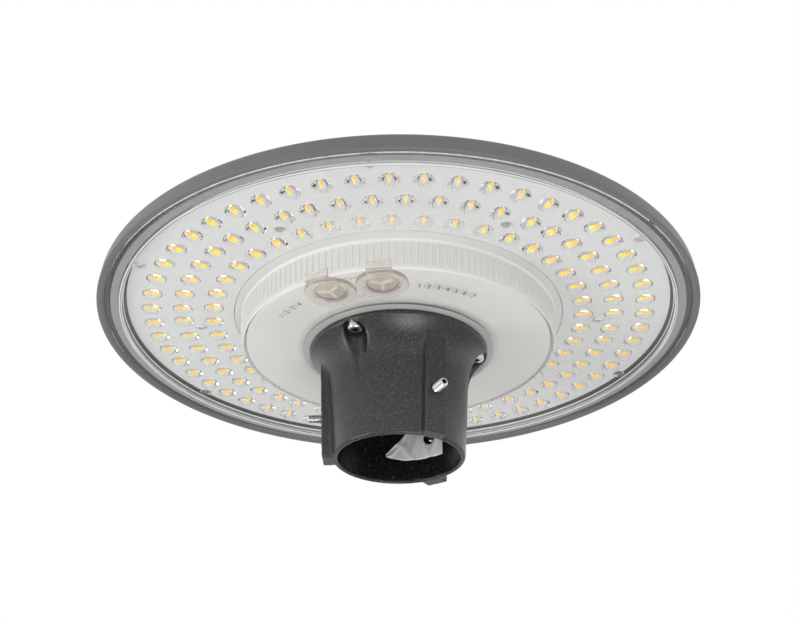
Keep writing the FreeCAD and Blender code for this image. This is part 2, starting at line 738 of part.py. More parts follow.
def post_adapter():
    """Cast socket with three clamping pads, a flared flange and a recess beside each screw."""
    neck = (neck_radius, dim.neck_level)
    flange = (dim.flange_radius, flange_level)
    shell = turned_body("adapter_turning", [
        (dim.bore_radius, mouth),
        (mouth_radius, mouth),
        neck, *arc_corners(neck, flange, dim.flare_radius, FLARE_BANDS, 1),
        flange,
        (dim.flange_radius, gasket_level),
        (dim.throat_radius, gasket_level),
        (dim.throat_radius, dim.bore_depth),
        (dim.bore_radius, dim.bore_depth),
    ])
    half = dim.pad_width.value / 2
    root = (dim.bore_radius.value + mouth_radius.value) / 2
    face = pad_radius.value
    height = pad_height.value
    side = Part.makePolygon([FreeCAD.Vector(-half, -root, 0), FreeCAD.Vector(-half, -face, 0),
                             FreeCAD.Vector(-half, -face - dim.pad_draft.value, height),
                             FreeCAD.Vector(-half, -root, height),
                             FreeCAD.Vector(-half, -root, 0)])
    pad = Part.Face(side).extrude(FreeCAD.Vector(dim.pad_width.value, 0, 0))
    pads = made_shape("adapter_pads", Part.makeCompound(
        [turned(pad, angle) for angle in around(PADS, dim.pad_angle.value)]))
    solid = fused("adapter_casting", [shell, pads])
    tools = []
    for place in fixing_places():
        tools.append(prism(dim.recess_radius.value, GROOVE_SIDES, dim.recess_fade.value,
                           recess_level.value, place))
        tools.append(prism(fixing_hole.value, PEG_SIDES, recess_level.value - CUT_MARGIN,
                           gasket_level.value + CUT_MARGIN, place))
    radius = round_clearance(dim.clamp_radius.value + dim.thread_clearance.value, SCREW_SIDES)
    for angle in around(PADS, dim.pad_angle.value):
        hole = prism(radius, SCREW_SIDES, 0, dim.flange_radius.value, FreeCAD.Vector())
        hole.Placement = clamp_placement(dim.bore_radius.value / 2, angle)
        tools.append(hole)
    return cut("post_adapter", solid, made_shape("adapter_holes", Part.makeCompound(tools)))


def adapter_gasket():
    """Flat gasket between the flange and the lens cover."""
    ring = turned_body("gasket_ring", [
        (dim.throat_radius, gasket_level), (gasket_radius, gasket_level),
        (gasket_radius, face_level), (dim.throat_radius, face_level)])
    holes = [prism(fixing_hole.value, PEG_SIDES, gasket_level.value - CUT_MARGIN,
                   face_level.value + CUT_MARGIN, place)
             for place in fixing_places()]
    return cut("adapter_gasket", ring, made_shape("gasket_holes", Part.makeCompound(holes)))


def adapter_screws():
    """Socket head screws that hold the adapter, the gasket and the cover to the housing."""
    screws = []
    head_level = recess_level.value - dim.fixing_head_height.value
    for place in fixing_places():
        head = prism(dim.fixing_head_radius.value, SCREW_SIDES, head_level, recess_level.value,
                     place)
        shank = prism(dim.fixing_radius.value, PEG_SIDES, recess_level.value,
                      boss_level.value + dim.fixing_bite.value, place)
        key = prism(dim.fixing_key_radius.value, HEXAGON_SIDES, head_level - CUT_MARGIN,
                    head_level + dim.fixing_key_depth.value, place)
        screws.append(head.fuse(shank).cut(key).removeSplitter())
    return made_shape("adapter_screws", Part.makeCompound(screws))


def clamp_placement(radius, angle):
    """Lies along a clamping screw's axis and starts at a radius."""
    return FreeCAD.Placement(at_angle(radius, angle, dim.clamp_level.value),
                             FreeCAD.Rotation(FreeCAD.Vector(0, 0, 1), at_angle(1.0, angle)))


def clamp_screw(label, angle):
    """Socket set screw, backed out as far as the photograph shows."""
    centre = FreeCAD.Vector()
    length = dim.clamp_length.value
    body = prism(dim.clamp_radius.value, SCREW_SIDES, dim.clamp_point.value, length, centre)
    point = prism(dim.clamp_point_radius.value, SCREW_SIDES, 0, dim.clamp_point.value, centre,
                  dim.clamp_radius.value)
    key = prism(dim.key_radius.value, HEXAGON_SIDES, length - dim.key_depth.value,
                length + CUT_MARGIN, centre)
    screw = doc.addObject("Part::Feature", label)
    screw.Label = label
    screw.Shape = body.fuse(point).cut(key).removeSplitter()
    screw.Placement = clamp_placement(clamp_tip.value, angle)
    return screw


def cable_gland():
    """Gland in the middle of the bulge's face, with its nut below and its locknut above."""
    centre = FreeCAD.Vector()
    nut_level = face_level.value - dim.gland_nut.value
    top = face_inside.value + dim.gland_locknut.value
    nut = prism(dim.gland_flats.value, HEXAGON_SIDES, nut_level, face_level.value, centre)
    thread = prism(dim.gland_radius.value, SCREW_SIDES, face_level.value, top, centre)
    locknut = prism(dim.gland_flats.value, HEXAGON_SIDES, face_inside.value, top, centre)
    way = prism(dim.cable_radius.value, SCREW_SIDES, nut_level - CUT_MARGIN, top + CUT_MARGIN,
                centre)
    return made_shape("cable_gland", nut.fuse([thread, locknut]).cut(way).removeSplitter())


def selector_switch(label, name):
    """Rotary switch on the tray, bored for the dial's spindle."""
    side = dim.selector_body.value
    body = block(side, side, dim.selector_height.value,
                 selector_circle.value - side / 2, DIAL_ANGLES[name], tray_floor.value)
    radius = round_clearance(dim.spindle_radius.value + dim.spindle_clearance.value, SCREW_SIDES)
    depth = dial_back.value + dim.spindle_length.value + dim.spindle_end.value
    bore = prism(radius, SCREW_SIDES, tray_floor.value - CUT_MARGIN, depth, dial_place(name))
    return made_shape(label, body.cut(bore))


def selector_dial(label, name):
    """Dial with a three-bladed grip in front and its spindle behind."""
    place = dial_place(name)
    plate = prism(dim.dial_radius.value, DISC_SIDES, dial_plate.value, dial_back.value, place)
    spindle = prism(dim.spindle_radius.value, SCREW_SIDES, dial_back.value,
                    dial_back.value + dim.spindle_length.value, place)
    width = dim.grip_width.value
    length = dim.dial_radius.value - dim.grip_margin.value
    blades = []
    for angle in around(GRIP_BLADES):
        blade = Part.makeBox(width, length, dim.dial_grip.value,
                             FreeCAD.Vector(-width / 2, 0, dial_front.value))
        blades.append(turned(blade, angle))
    grip = blades[0].fuse(blades[1:])
    grip = turned(grip, DIAL_ANGLES[name])
    grip.translate(place)
    return made_shape(label, plate.fuse([spindle, grip]).removeSplitter())


def selector_caps():
    """Soft clear moulding: two caps on a strap, each with a hook over the bulge's edge."""
    face = face_level.value
    front = cap_front.value
    parts = []
    hollows = []
    for name in DIAL_ANGLES:
        place = dial_place(name)
        parts.append(prism(dim.cap_radius.value, DISC_SIDES, front, face, place))
        parts.append(prism(dim.cap_neck.value, DISC_SIDES, face, face_inside.value, place))
        hollows.append(prism(dim.cap_bore.value, DISC_SIDES, front + dim.cap_skin.value,
                             face_inside.value + CUT_MARGIN, place))
        parts.append(turned(cap_hook(), DIAL_ANGLES[name]))
    first, second = [dial_place(name) for name in DIAL_ANGLES]
    span = second - first
    strap = Part.makeBox(span.Length, dim.strap_width.value, dim.strap_thickness.value,
                         FreeCAD.Vector(0, -dim.strap_width.value / 2,
                                        face - dim.strap_thickness.value))
    strap.rotate(FreeCAD.Vector(0, 0, 0), FreeCAD.Vector(0, 0, 1),
                 math.degrees(math.atan2(span.y, span.x)))
    strap.translate(first)
    solid = parts[0].fuse(parts[1:] + [strap])
    for hollow in hollows:
        solid = solid.cut(hollow)
    return made_shape("selector_caps", solid.removeSplitter())


def cap_hook():
    """Hook drawn at the front: out over the edge of the face and up along the ribs."""
    face = face_level.value
    clear = dim.bulge_radius.value + dim.flute_height.value + dim.hook_clearance.value
    wall = dim.hook_wall.value
    inner = selector_circle.value + dim.cap_bore.value + dim.cap_skin.value
    side = [FreeCAD.Vector(0, -inner, face), FreeCAD.Vector(0, -clear, face),
            FreeCAD.Vector(0, -clear, face + dim.hook_reach.value),
            FreeCAD.Vector(0, -clear - wall, face + dim.hook_reach.value),
            FreeCAD.Vector(0, -clear - wall, face - wall),
            FreeCAD.Vector(0, -inner, face - wall)]
    outline = Part.Face(Part.makePolygon(side + side[:1]))
    hook = outline.extrude(FreeCAD.Vector(dim.hook_width.value, 0, 0))
    hook.translate(FreeCAD.Vector(-dim.hook_width.value / 2, 0, 0))
    return hook


def blank_label():
    """Blank paper label on the wall of the bore, punched out round a clamping screw."""
    outer = dim.bore_radius.value - dim.label_gap.value
    inner = outer - dim.label_thickness.value
    sweep = math.degrees(dim.label_width.value / dim.bore_radius.value)
    low = dim.label_level.value
    height = dim.label_height.value
    ring = Part.makeCylinder(outer, height, FreeCAD.Vector(0, 0, low),
                             FreeCAD.Vector(0, 0, 1), sweep)
    core = Part.makeCylinder(inner, height + 2 * CUT_MARGIN, FreeCAD.Vector(0, 0, low - CUT_MARGIN))
    label = turned(ring.cut(core), dim.label_angle.value - 90 - sweep / 2)
    screw_way = [Part.makeCylinder(dim.clamp_radius.value + dim.label_margin.value,
                                   pad_radius.value, FreeCAD.Vector(0, 0, dim.clamp_level.value),
                                   at_angle(1.0, angle))
                 for angle in around(PADS, dim.pad_angle.value)]
    return made_shape("blank_label", label.cut(Part.makeCompound(screw_way)))


nodes = [
    dome_housing(), rim_seal(), lens_cover(), led_board(),
    led_chips("warm_leds", 1), led_chips("cool_leds", -1), board_screws(),
    driver_tray(), driver(), driver_screws(), surge_protector(), terminal_block(),
    selector_switch("power_selector", "power"), selector_switch("colour_selector", "colour"),
    selector_dial("power_dial", "power"), selector_dial("colour_dial", "colour"),
    selector_caps(), cable_gland(),
    post_adapter(), adapter_gasket(), adapter_screws(), blank_label(),
]
for pad_name, pad_turn in zip(("right", "rear", "left"), around(PADS, dim.pad_angle.value)):
    nodes.append(clamp_screw("clamp_screw_" + pad_name, pad_turn))

doc.recompute()
for feature in doc.Objects:
    if "Invalid" in feature.State or "Error" in feature.State:
        raise RuntimeError("%s did not build: %s" % (feature.Label, feature.State))
os.makedirs("parts", exist_ok=True)
for node in nodes:
    if node.Shape.isNull() or not node.Shape.isValid():
        raise RuntimeError("%s has no valid shape" % node.Label)
    node.Shape.exportStep(os.path.join("parts", node.Label + ".step"))
    print("%-18s %4d solids %10.1f mm3" % (node.Label, len(node.Shape.Solids), node.Shape.Volume))
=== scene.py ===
# %% [markdown]
# # A street light head, dressed over its CAD frame
#
# The lamp is a flat round head that sits on top of a post, and the picture looks up at it
# from below the rim. The CAD model already holds every hard part at its real size. This
# lesson loads that model, gives each part a surface of its own, and rebuilds the few parts
# whose charm lies in small soft shapes: the clear cover with its lenses, the LEDs, the
# silicone caps, the cast socket and the screws.
#
# The frame comes first. Everything is in metres with Z up, and the front faces -Y.

# %% Load the frame
import math

import bmesh
import bpy
from mathutils import Matrix, Vector


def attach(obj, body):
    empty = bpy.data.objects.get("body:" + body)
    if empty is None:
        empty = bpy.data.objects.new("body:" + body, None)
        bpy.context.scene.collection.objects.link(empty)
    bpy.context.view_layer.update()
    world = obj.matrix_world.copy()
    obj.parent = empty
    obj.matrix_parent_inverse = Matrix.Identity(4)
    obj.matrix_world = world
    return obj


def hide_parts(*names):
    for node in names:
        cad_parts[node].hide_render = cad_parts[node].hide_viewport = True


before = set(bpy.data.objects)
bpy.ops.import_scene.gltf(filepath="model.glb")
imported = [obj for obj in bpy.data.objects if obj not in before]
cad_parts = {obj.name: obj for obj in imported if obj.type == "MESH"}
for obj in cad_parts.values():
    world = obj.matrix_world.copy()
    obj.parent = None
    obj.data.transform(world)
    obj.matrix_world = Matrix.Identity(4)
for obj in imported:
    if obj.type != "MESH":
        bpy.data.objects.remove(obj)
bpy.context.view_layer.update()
HEAD = "head"

# %% [markdown]
# ## The camera
#
# A product photo like this one is taken with a long lens from well below the head. The
# camera stands 0.7 m in front of the head and 0.39 m under its rim, and looks 30 degrees
# upwards. The matrix is written from three directions, which is easier to follow than
# angles: where the camera looks, where its right hand is, and where its top is.

# %% Camera
CAMERA_PLACE = Vector((-0.0003, -0.6963, -0.2935))
CAMERA_TILT = math.radians(30.12)
CAMERA_ROLL = math.radians(-0.22)
LENS_IN_WIDTHS = 1.4773


def add_object(name, data):
    """New object in the scene."""
    made = bpy.data.objects.new(name, data)
    bpy.context.scene.collection.objects.link(made)
    return made


def make_camera():
    """Camera at the photo's angle, with a plain lens."""
    ahead = Vector((0, math.cos(CAMERA_TILT), math.sin(CAMERA_TILT)))
    level = Vector((1, 0, 0))
    above = level.cross(ahead)
    right = level * math.cos(CAMERA_ROLL) + above * math.sin(CAMERA_ROLL)
    top = right.cross(ahead)
    turn = Matrix((right, top, -ahead)).transposed()
    data = bpy.data.cameras.new("camera")
    data.lens = data.sensor_width * LENS_IN_WIDTHS
    camera = add_object("camera", data)
    camera.matrix_world = Matrix.Translation(CAMERA_PLACE) @ turn.to_4x4()
    bpy.context.scene.camera = camera
    return camera


camera = make_camera()
print("camera lens", round(camera.data.lens, 1), "mm")

# %% [markdown]
# ## Light and background
#
# The photo has a white background and even light, so the world is the main lamp. Rays
# that come from the camera, from a reflection or through the clear cover see plain white.
# Two soft lamps stand low, one at the left and one nearly below, so that the flare, the
# pads and the screws get a bright and a dim side and some light reaches the label in the
# bore. The floor lies far below, because the picture is taken from under the head.

# %% World, lamps and floor
WORLD_LIGHT = 0.62
LAMP_AIM = Vector((0, 0, 0.05))
FLOOR_LEVEL = -1.6
FLOOR_SIZE = 6.0
WHITE = (1.0, 1.0, 1.0, 1.0)


def make_world():
    """White to look at, and a little dimmer as a lamp."""
    world = bpy.data.worlds.new("studio")
    world.use_nodes = True
    nodes = world.node_tree.nodes
    links = world.node_tree.links
    lamp = nodes["Background"]
    lamp.inputs["Color"].default_value = WHITE
    lamp.inputs["Strength"].default_value = WORLD_LIGHT
    seen = nodes.new("ShaderNodeBackground")
    seen.inputs["Color"].default_value = WHITE
    path = nodes.new("ShaderNodeLightPath")
    either = path.outputs["Is Camera Ray"]
    for name in ("Is Glossy Ray", "Is Transmission Ray"):
        larger = nodes.new("ShaderNodeMath")
        larger.operation = "MAXIMUM"
        links.new(either, larger.inputs[0])
        links.new(path.outputs[name], larger.inputs[1])
        either = larger.outputs[0]
    mix = nodes.new("ShaderNodeMixShader")
    links.new(either, mix.inputs[0])
    links.new(lamp.outputs[0], mix.inputs[1])
    links.new(seen.outputs[0], mix.inputs[2])
    links.new(mix.outputs[0], nodes["World Output"].inputs["Surface"])
    bpy.context.scene.world = world


def make_lamp(name, place, size, power):
    """Soft square lamp that faces the head."""
    data = bpy.data.lights.new(name, "AREA")
    data.shape = "SQUARE"
    data.size = size
    data.energy = power
    lamp = add_object(name, data)
    lamp.location = place
    towards = LAMP_AIM - Vector(place)
    lamp.rotation_mode = "QUATERNION"
    lamp.rotation_quaternion = towards.to_track_quat("-Z", "Y")


bpy.context.scene.view_settings.view_transform = "Standard"
make_world()
make_lamp("left_softbox", (-1.2, -0.5, -0.5), 0.5, 5)
make_lamp("low_softbox", (0.25, -0.75, -1.15), 0.6, 6)
print("world light", WORLD_LIGHT)

# %% [markdown]
# ## Shader maths written as sums
#
# Node trees are easier to read when the maths looks like maths. A Wire wraps one socket, and
# a number plus a Wire or times a Wire adds a Math node. A Finish is a material with one
# method that makes any other node.

# %% Wires and finishes
class Wire:
    """A shader socket that can take part in sums."""

    def __init__(self, finish, socket):
        self.finish = finish
        self.socket = socket

    def sum(self, operation, number):
        return self.finish.node("ShaderNodeMath", {"operation": operation}, {0: number, 1: self})

    def __radd__(self, number):
        return self.sum("ADD", number)

    def __rmul__(self, number):
        return self.sum("MULTIPLY", number)


class Finish:
    """A material, its main shader and the nodes that feed it."""

    def __init__(self, name, colour, **sockets):
        self.material = bpy.data.materials.new(name)
        self.material.use_nodes = True
        self.tree = self.material.node_tree
        self.shader = self.tree.nodes["Principled BSDF"]
        self.material.diffuse_color = (*colour, 1.0)
        self.set("Base Color", (*colour, 1.0))
        for socket, value in sockets.items():
            self.set(socket.replace("_", " "), value)
        self.place = self.node("ShaderNodeTexCoord", pick="Object")

    def set(self, name, value):
        """Put a plain value or a Wire on one socket of the main shader."""
        self.plug(self.shader.inputs[name], value)

    def plug(self, socket, value):
        if isinstance(value, Wire):
            self.tree.links.new(value.socket, socket)
        else:
            socket.default_value = value

    def node(self, kind, settings=None, values=None, pick=0):
        """Any node: its settings first, then its sockets. The Wire is its picked output."""
        node = self.tree.nodes.new(kind)
        for name, value in (settings or {}).items():
            if name == "stops":
                self.make_stops(node.color_ramp, value)
            else:
                setattr(node, name, value)
        for name, value in (values or {}).items():
            self.plug(node.inputs[name], value)
        return Wire(self, node.outputs[pick])

    def make_stops(self, ramp, stops):
        """A ramp's places and grey or coloured stops."""
        while len(ramp.elements) < len(stops):
            ramp.elements.new(0.5)
        for element, (place, colour) in zip(ramp.elements, stops):
            element.position = place
            element.color = (*colour, 1.0)

    def noise(self, scale, detail=2.0, roughness=0.5):
        """Noise with so many bumps to a metre."""
        return self.node("ShaderNodeTexNoise", None, {
            "Vector": self.place, "Scale": scale, "Detail": detail, "Roughness": roughness})

    def ramp(self, wire, stops):
        return self.node("ShaderNodeValToRGB", {"stops": stops}, {"Fac": wire})

    def let_light_through(self, tint):
        """Lamps and soft light go straight through, while the eye sees the plastic bend it."""
        nodes = self.tree.nodes
        links = self.tree.links
        path = nodes.new("ShaderNodeLightPath")
        clear = nodes.new("ShaderNodeBsdfTransparent")
        clear.inputs["Color"].default_value = (*tint, 1.0)
        surface = self.shader.outputs["BSDF"]
        for ray in ("Is Shadow Ray", "Is Diffuse Ray"):
            mix = nodes.new("ShaderNodeMixShader")
            links.new(path.outputs[ray], mix.inputs[0])
            links.new(surface, mix.inputs[1])
            links.new(clear.outputs[0], mix.inputs[2])
            surface = mix.outputs[0]
        links.new(surface, nodes["Material Output"].inputs["Surface"])

    def bump(self, height, distance):
        """Normal from a height, which is at most so many metres deep."""
        return self.node("ShaderNodeBump", None, {
            "Height": height, "Distance": distance, "Strength": 1.0})


print("Wire and Finish are ready")

# %% [markdown]
# ## Painted castings
#
# The housing is a die casting with a grey powder coat. Powder coat has a fine orange-peel
# skin and a roughness that wanders a little. The socket has a coarser dark coat with tiny
# bright flakes, which give it the sparkle that shows on its flare.
#
# Both use Object coordinates, so the grain has its real size whatever the part.

# %% Housing and socket finishes
def housing_finish():
    finish = Finish("grey_powder_coat", (0.17, 0.17, 0.168), Metallic=0.0)
    patches = finish.noise(14.0)
    peel = finish.noise(1400.0, 1.0)
    finish.set("Base Color", finish.ramp(patches, (
        (0.3, (0.158, 0.158, 0.156)), (0.7, (0.182, 0.182, 0.18)))))
    finish.set("Roughness", 0.36 + 0.14 * peel)
    finish.set("Normal", finish.bump(peel, 0.00004))
    return finish.material


def socket_finish():
    finish = Finish("dark_flake_coat", (0.045, 0.045, 0.042), Metallic=0.0)
    grain = finish.noise(2600.0, 1.0, 0.6)
    patches = finish.noise(20.0)
    finish.set("Base Color", finish.ramp(grain, (
        (0.42, (0.013, 0.013, 0.012)), (0.62, (0.025, 0.025, 0.023)),
        (0.70, (0.26, 0.26, 0.25)))))
    finish.set("Specular IOR Level", 0.6)
    finish.set("Roughness", 0.26 + 0.10 * patches)
    finish.set("Normal", finish.bump(grain, 0.00005))
    return finish.material


def bore_finish():
    """The same coat inside the bore, where it is thin, dark and glossy."""
    finish = Finish("glossy_bore_coat", (0.018, 0.018, 0.017), Metallic=0.6)
    lumps = finish.noise(420.0, 3.0, 0.7)
    finish.set("Base Color", finish.ramp(lumps, (
        (0.35, (0.016, 0.016, 0.015)), (0.66, (0.05, 0.05, 0.047)),
        (0.80, (0.40, 0.40, 0.38)))))
    finish.set("Roughness", 0.14 + 0.14 * lumps)
    finish.set("Normal", finish.bump(lumps, 0.0004))
    return finish.material


housing_paint = housing_finish()
socket_paint = socket_finish()
bore_paint = bore_finish()
print(housing_paint.name, socket_paint.name, bore_paint.name)

# %% [markdown]
# ## Clear and soft plastics
#
# The cover is one clear moulding. The lenses are real refracting solids here, so that each
# one enlarges the LEDs behind it. They and the plain shell bend light less than real
# plastic, because full bending would draw hard dark lines where the photo has soft ones.
# The ribs are spark-eroded, which scatters light instead of bending it. The caps are milky
# silicone, which shows the dials as through thin frost.

# %% Clear cover, silicone and white plastics
CLEAR = (0.99, 0.99, 0.987)
POLISHED = {"clearness": 1.0, "grain": (60.0, 1.0), "rough": (0.01, 0.04)}


def clear_finish(name, colour, tint, bending, clearness, grain, rough):
    """bending is the refractive index; rough is the least roughness and its range."""
    finish = Finish(name, colour, IOR=bending)
    finish.set("Transmission Weight", clearness)
    finish.set("Roughness", rough[0] + rough[1] * finish.noise(*grain))
    finish.let_light_through(tint)
    return finish.material


def plain_plastic(name, colour, rough, grain_depth=0.00003, grain=900.0):
    """Moulded plastic with a fine spark-eroded grain."""
    finish = Finish(name, colour)
    skin = finish.noise(grain, 2.0)
    dark = tuple(0.94 * part for part in colour)
    finish.set("Base Color", finish.ramp(finish.noise(35.0), ((0.3, dark), (0.7, colour))))
    finish.set("Roughness", rough - 0.05 + 0.10 * skin)
    finish.set("Normal", finish.bump(skin, grain_depth))
    return finish.material


lens_clear = clear_finish("clear_lens_plastic", CLEAR, CLEAR, 1.35, **POLISHED)
cover_clear = clear_finish("clear_shell_plastic", CLEAR, CLEAR, 1.2, **POLISHED)
rib_frost = clear_finish("frosted_rib_plastic", (0.93, 0.93, 0.92), (0.96, 0.96, 0.955),
                         1.3, 0.2, (1200.0, 1.0), (0.32, 0.10))
cap_silicone = clear_finish("milky_silicone", (0.92, 0.885, 0.85), (0.98, 0.97, 0.955),
                            1.33, 0.86, (260.0, 2.0), (0.03, 0.06))
tray_white = plain_plastic("white_tray_plastic", (0.84, 0.84, 0.825), 0.5)
# Grey for the tray's wall: painted shade between the ribs, the same white plastic in truth.
painted_shade_tray_wall = plain_plastic("tray_wall_painted_shade", (0.60, 0.60, 0.59), 0.5)
# Paler cream for the dial's blades: a painted highlight on the same cream plastic.
blade_painted_highlight = plain_plastic("cream_blade_painted_highlight", (0.86, 0.82, 0.76), 0.25)
dial_cream = plain_plastic("cream_dial_plastic", (0.56, 0.50, 0.42), 0.25)
seal_grey = plain_plastic("grey_seal_silicone", (0.42, 0.42, 0.42), 0.6)
gasket_grey = plain_plastic("grey_gasket_rubber", (0.52, 0.52, 0.51), 0.6)
black_plastic = plain_plastic("black_gland_plastic", (0.02, 0.02, 0.02), 0.45)
blue_plastic = plain_plastic("blue_surge_plastic", (0.05, 0.12, 0.35), 0.5)
ivory_plastic = plain_plastic("ivory_terminal_plastic", (0.75, 0.72, 0.62), 0.5)
package_white = plain_plastic("white_led_package", (0.90, 0.90, 0.88), 0.45)
ink_brown = plain_plastic("brown_ink", (0.20, 0.15, 0.12), 0.6)
print("plastics are ready")

# %% [markdown]
# ## Metal, board and phosphor
#
# The screws are stainless steel, turned, so a fine streak runs round them. A darker steel
# goes into thread roots and hexagon sockets as painted shade. The LED board
# is aluminium under a white solder mask. Each LED shows its phosphor: orange in the warm
# ones and yellow in the cool ones. A phosphor turns the blue part of any white light into
# its own colour, so it looks brighter than paint would: a little emission stands for that.

# %% Metal, board and phosphor finishes
def steel_finish(name, colour, rough):
    finish = Finish(name, colour, Metallic=1.0)
    streak = finish.noise(2200.0, 3.0, 0.7)
    finish.set("Roughness", rough + 0.18 * streak)
    return finish.material


def driver_finish():
    finish = Finish("driver_aluminium", (0.60, 0.61, 0.62), Metallic=0.9)
    grain = finish.noise(700.0, 2.0)
    finish.set("Roughness", 0.35 + 0.15 * grain)
    finish.set("Normal", finish.bump(grain, 0.00004))
    return finish.material


def board_finish():
    finish = Finish("white_solder_mask", (0.86, 0.865, 0.86))
    mottle = finish.noise(160.0, 2.0)
    finish.set("Base Color", finish.ramp(mottle, (
        (0.3, (0.845, 0.85, 0.845)), (0.7, (0.875, 0.88, 0.875)))))
    finish.set("Roughness", 0.32 + 0.1 * mottle)
    return finish.material


PHOSPHOR_GLOW = 0.5


def phosphor_finish(name, deep, pale):
    finish = Finish(name, deep)
    cloud = finish.noise(900.0, 1.0)
    finish.set("Base Color", finish.ramp(cloud, ((0.3, deep), (0.7, pale))))
    finish.set("Emission Color", (*deep, 1.0))
    finish.set("Emission Strength", PHOSPHOR_GLOW)
    finish.set("Roughness", 0.25 + 0.1 * cloud)
    return finish.material


def label_finish():
    finish = Finish("plain_label_paper", (0.95, 0.95, 0.94))
    fibre = finish.noise(2400.0, 3.0, 0.6)
    finish.set("Base Color", finish.ramp(fibre, (
        (0.3, (0.93, 0.93, 0.92)), (0.7, (0.97, 0.97, 0.96)))))
    finish.set("Roughness", 0.22 + 0.15 * fibre)
    finish.set("Coat Weight", 0.3 + 0.3 * fibre)
    return finish.material


steel = steel_finish("stainless_steel", (0.82, 0.815, 0.80), 0.15)
# Darker steel: painted shade for thread roots and hexagon sockets.
steel_with_painted_shade = steel_finish("steel_in_shade", (0.16, 0.155, 0.15), 0.3)
driver_metal = driver_finish()
board_mask = board_finish()
warm_phosphor = phosphor_finish("warm_phosphor", (0.98, 0.50, 0.03), (0.99, 0.55, 0.06))
cool_phosphor = phosphor_finish("cool_phosphor", (0.98, 0.63, 0.05), (0.99, 0.69, 0.10))
label_paper = label_finish()
print("metals, board and phosphors are ready")

# %% [markdown]
# ## From a mesh to a piece
#
# Each new piece is modelled in millimetres and scaled to metres at the end, so its place
# is in its mesh and the object stays at the origin. A point on the head is given by a
# radius, an angle from the front and a height, as on the CAD model.

# %% Pieces
MM = 0.001
ARC_STEPS = 12


def at(radius, degrees, height=0.0):
    """Point in millimetres from a radius, an angle from the front and a height."""
    turn = math.radians(degrees)
    return Vector((radius * math.sin(turn), -radius * math.cos(turn), height))


def turned(degrees):
    """Turn about the head's axis."""
    return Matrix.Rotation(math.radians(degrees), 4, "Z")


def as_mesh(bm, name, unit=1.0):
    """Mesh made of a bmesh, whose lengths are counted in units."""
    bmesh.ops.scale(bm, vec=(unit, unit, unit), verts=bm.verts)
    mesh = bpy.data.meshes.new(name)
    bm.to_mesh(mesh)
    bm.free()
    return mesh


def make_piece(mesh_in_mm, name, body, finishes, node=None, smooth=40.0):
    """Turn a bmesh in millimetres into a piece that rides on a body."""
    mesh = as_mesh(mesh_in_mm, name, MM)
    for finish in finishes:
        mesh.materials.append(finish)
    mesh.shade_smooth()
    mesh.set_sharp_from_angle(angle=math.radians(smooth))
    piece = add_object(name, mesh)
    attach(piece, body)
    if node:
        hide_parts(node)
    mesh.calc_loop_triangles()
    print(name, len(mesh.loop_triangles), "triangles")
    return piece


def turn_outline(bm, corners, steps):
    """Spin a closed outline of (radius, height, rounding) about the head's axis."""
    points = [bm.verts.new((radius, 0, height)) for radius, height, _ in corners]
    bm.faces.new(points)
    for point, (_, _, rounding) in zip(points, corners):
        if rounding:
            bmesh.ops.bevel(bm, geom=[point], offset=rounding, offset_type="OFFSET",
                            affect="VERTICES", segments=4, profile=0.5, material=-1)
    bm.faces.ensure_lookup_table()
    outline = bm.faces[0]
    ring = list(outline.verts) + list(outline.edges)
    bmesh.ops.spin(bm, geom=ring, cent=(0, 0, 0), axis=(0, 0, 1), dvec=(0, 0, 0),
                   angle=math.tau, steps=steps, use_merge=True, use_duplicate=False)
    bmesh.ops.delete(bm, geom=[outline], context="FACES_ONLY")
    bmesh.ops.remove_doubles(bm, verts=bm.verts, dist=0.0005)
    bmesh.ops.recalc_face_normals(bm, faces=bm.faces)


def shaped_mesh(piece):
    """New mesh with the shape that an object has after its modifiers."""
    shaped = piece.evaluated_get(bpy.context.evaluated_depsgraph_get())
    return bpy.data.meshes.new_from_object(shaped)


def apply_steps(piece):
    """Put what the piece's modifiers make into its mesh."""
    made = shaped_mesh(piece)
    piece.modifiers.clear()
    old = piece.data
    piece.data = made
    bpy.data.meshes.remove(old)


def cut_or_join(piece, tool_in_mm, operation):
    """Boolean with a tool in millimetres, applied to the piece's mesh at once."""
    tool = add_object("tool", as_mesh(tool_in_mm, "tool", MM))
    step = piece.modifiers.new("step", "BOOLEAN")
    step.operation = operation
    step.solver = "EXACT"
    step.object = tool
    apply_steps(piece)
    bpy.data.objects.remove(tool)
    piece.data.shade_smooth()
    piece.data.set_sharp_from_angle(angle=math.radians(35))


def add_cylinder(bm, radius, low, high, place, segments=48):
    """Upright cylinder between two heights."""
    made = bmesh.ops.create_cone(bm, cap_ends=True, segments=segments, radius1=radius,
                                 radius2=radius, depth=high - low)
    bmesh.ops.translate(bm, verts=made["verts"],
                        vec=Vector((place.x, place.y, (low + high) / 2)))


def add_box(bm, size, middle):
    """Box about a point. It hands back its corners."""
    box = bmesh.ops.create_cube(bm, size=1.0)["verts"]
    bmesh.ops.scale(bm, vec=size, verts=box)
    bmesh.ops.translate(bm, vec=middle, verts=box)
    return box


def arc_corners(radius, edge, top):
    """Corners from the axis to the edge of a dome, for an outline that is turned."""
    rise = top - edge
    curve = (radius ** 2 + rise ** 2) / (2 * rise)
    sweep = math.asin(radius / curve)
    turns = [sweep * step / ARC_STEPS for step in range(ARC_STEPS + 1)]
    return [(curve * math.sin(turn), top - curve + curve * math.cos(turn), 0) for turn in turns]


print("helpers are ready")

# %% [markdown]
# ## The housing
#
# The housing is one turned outline: a lip that holds the cover, a short upright side, a
# nearly flat brim and a domed crown with the driver bay inside. Its casting edges are
# rounded, which is what catches the light along the lip.

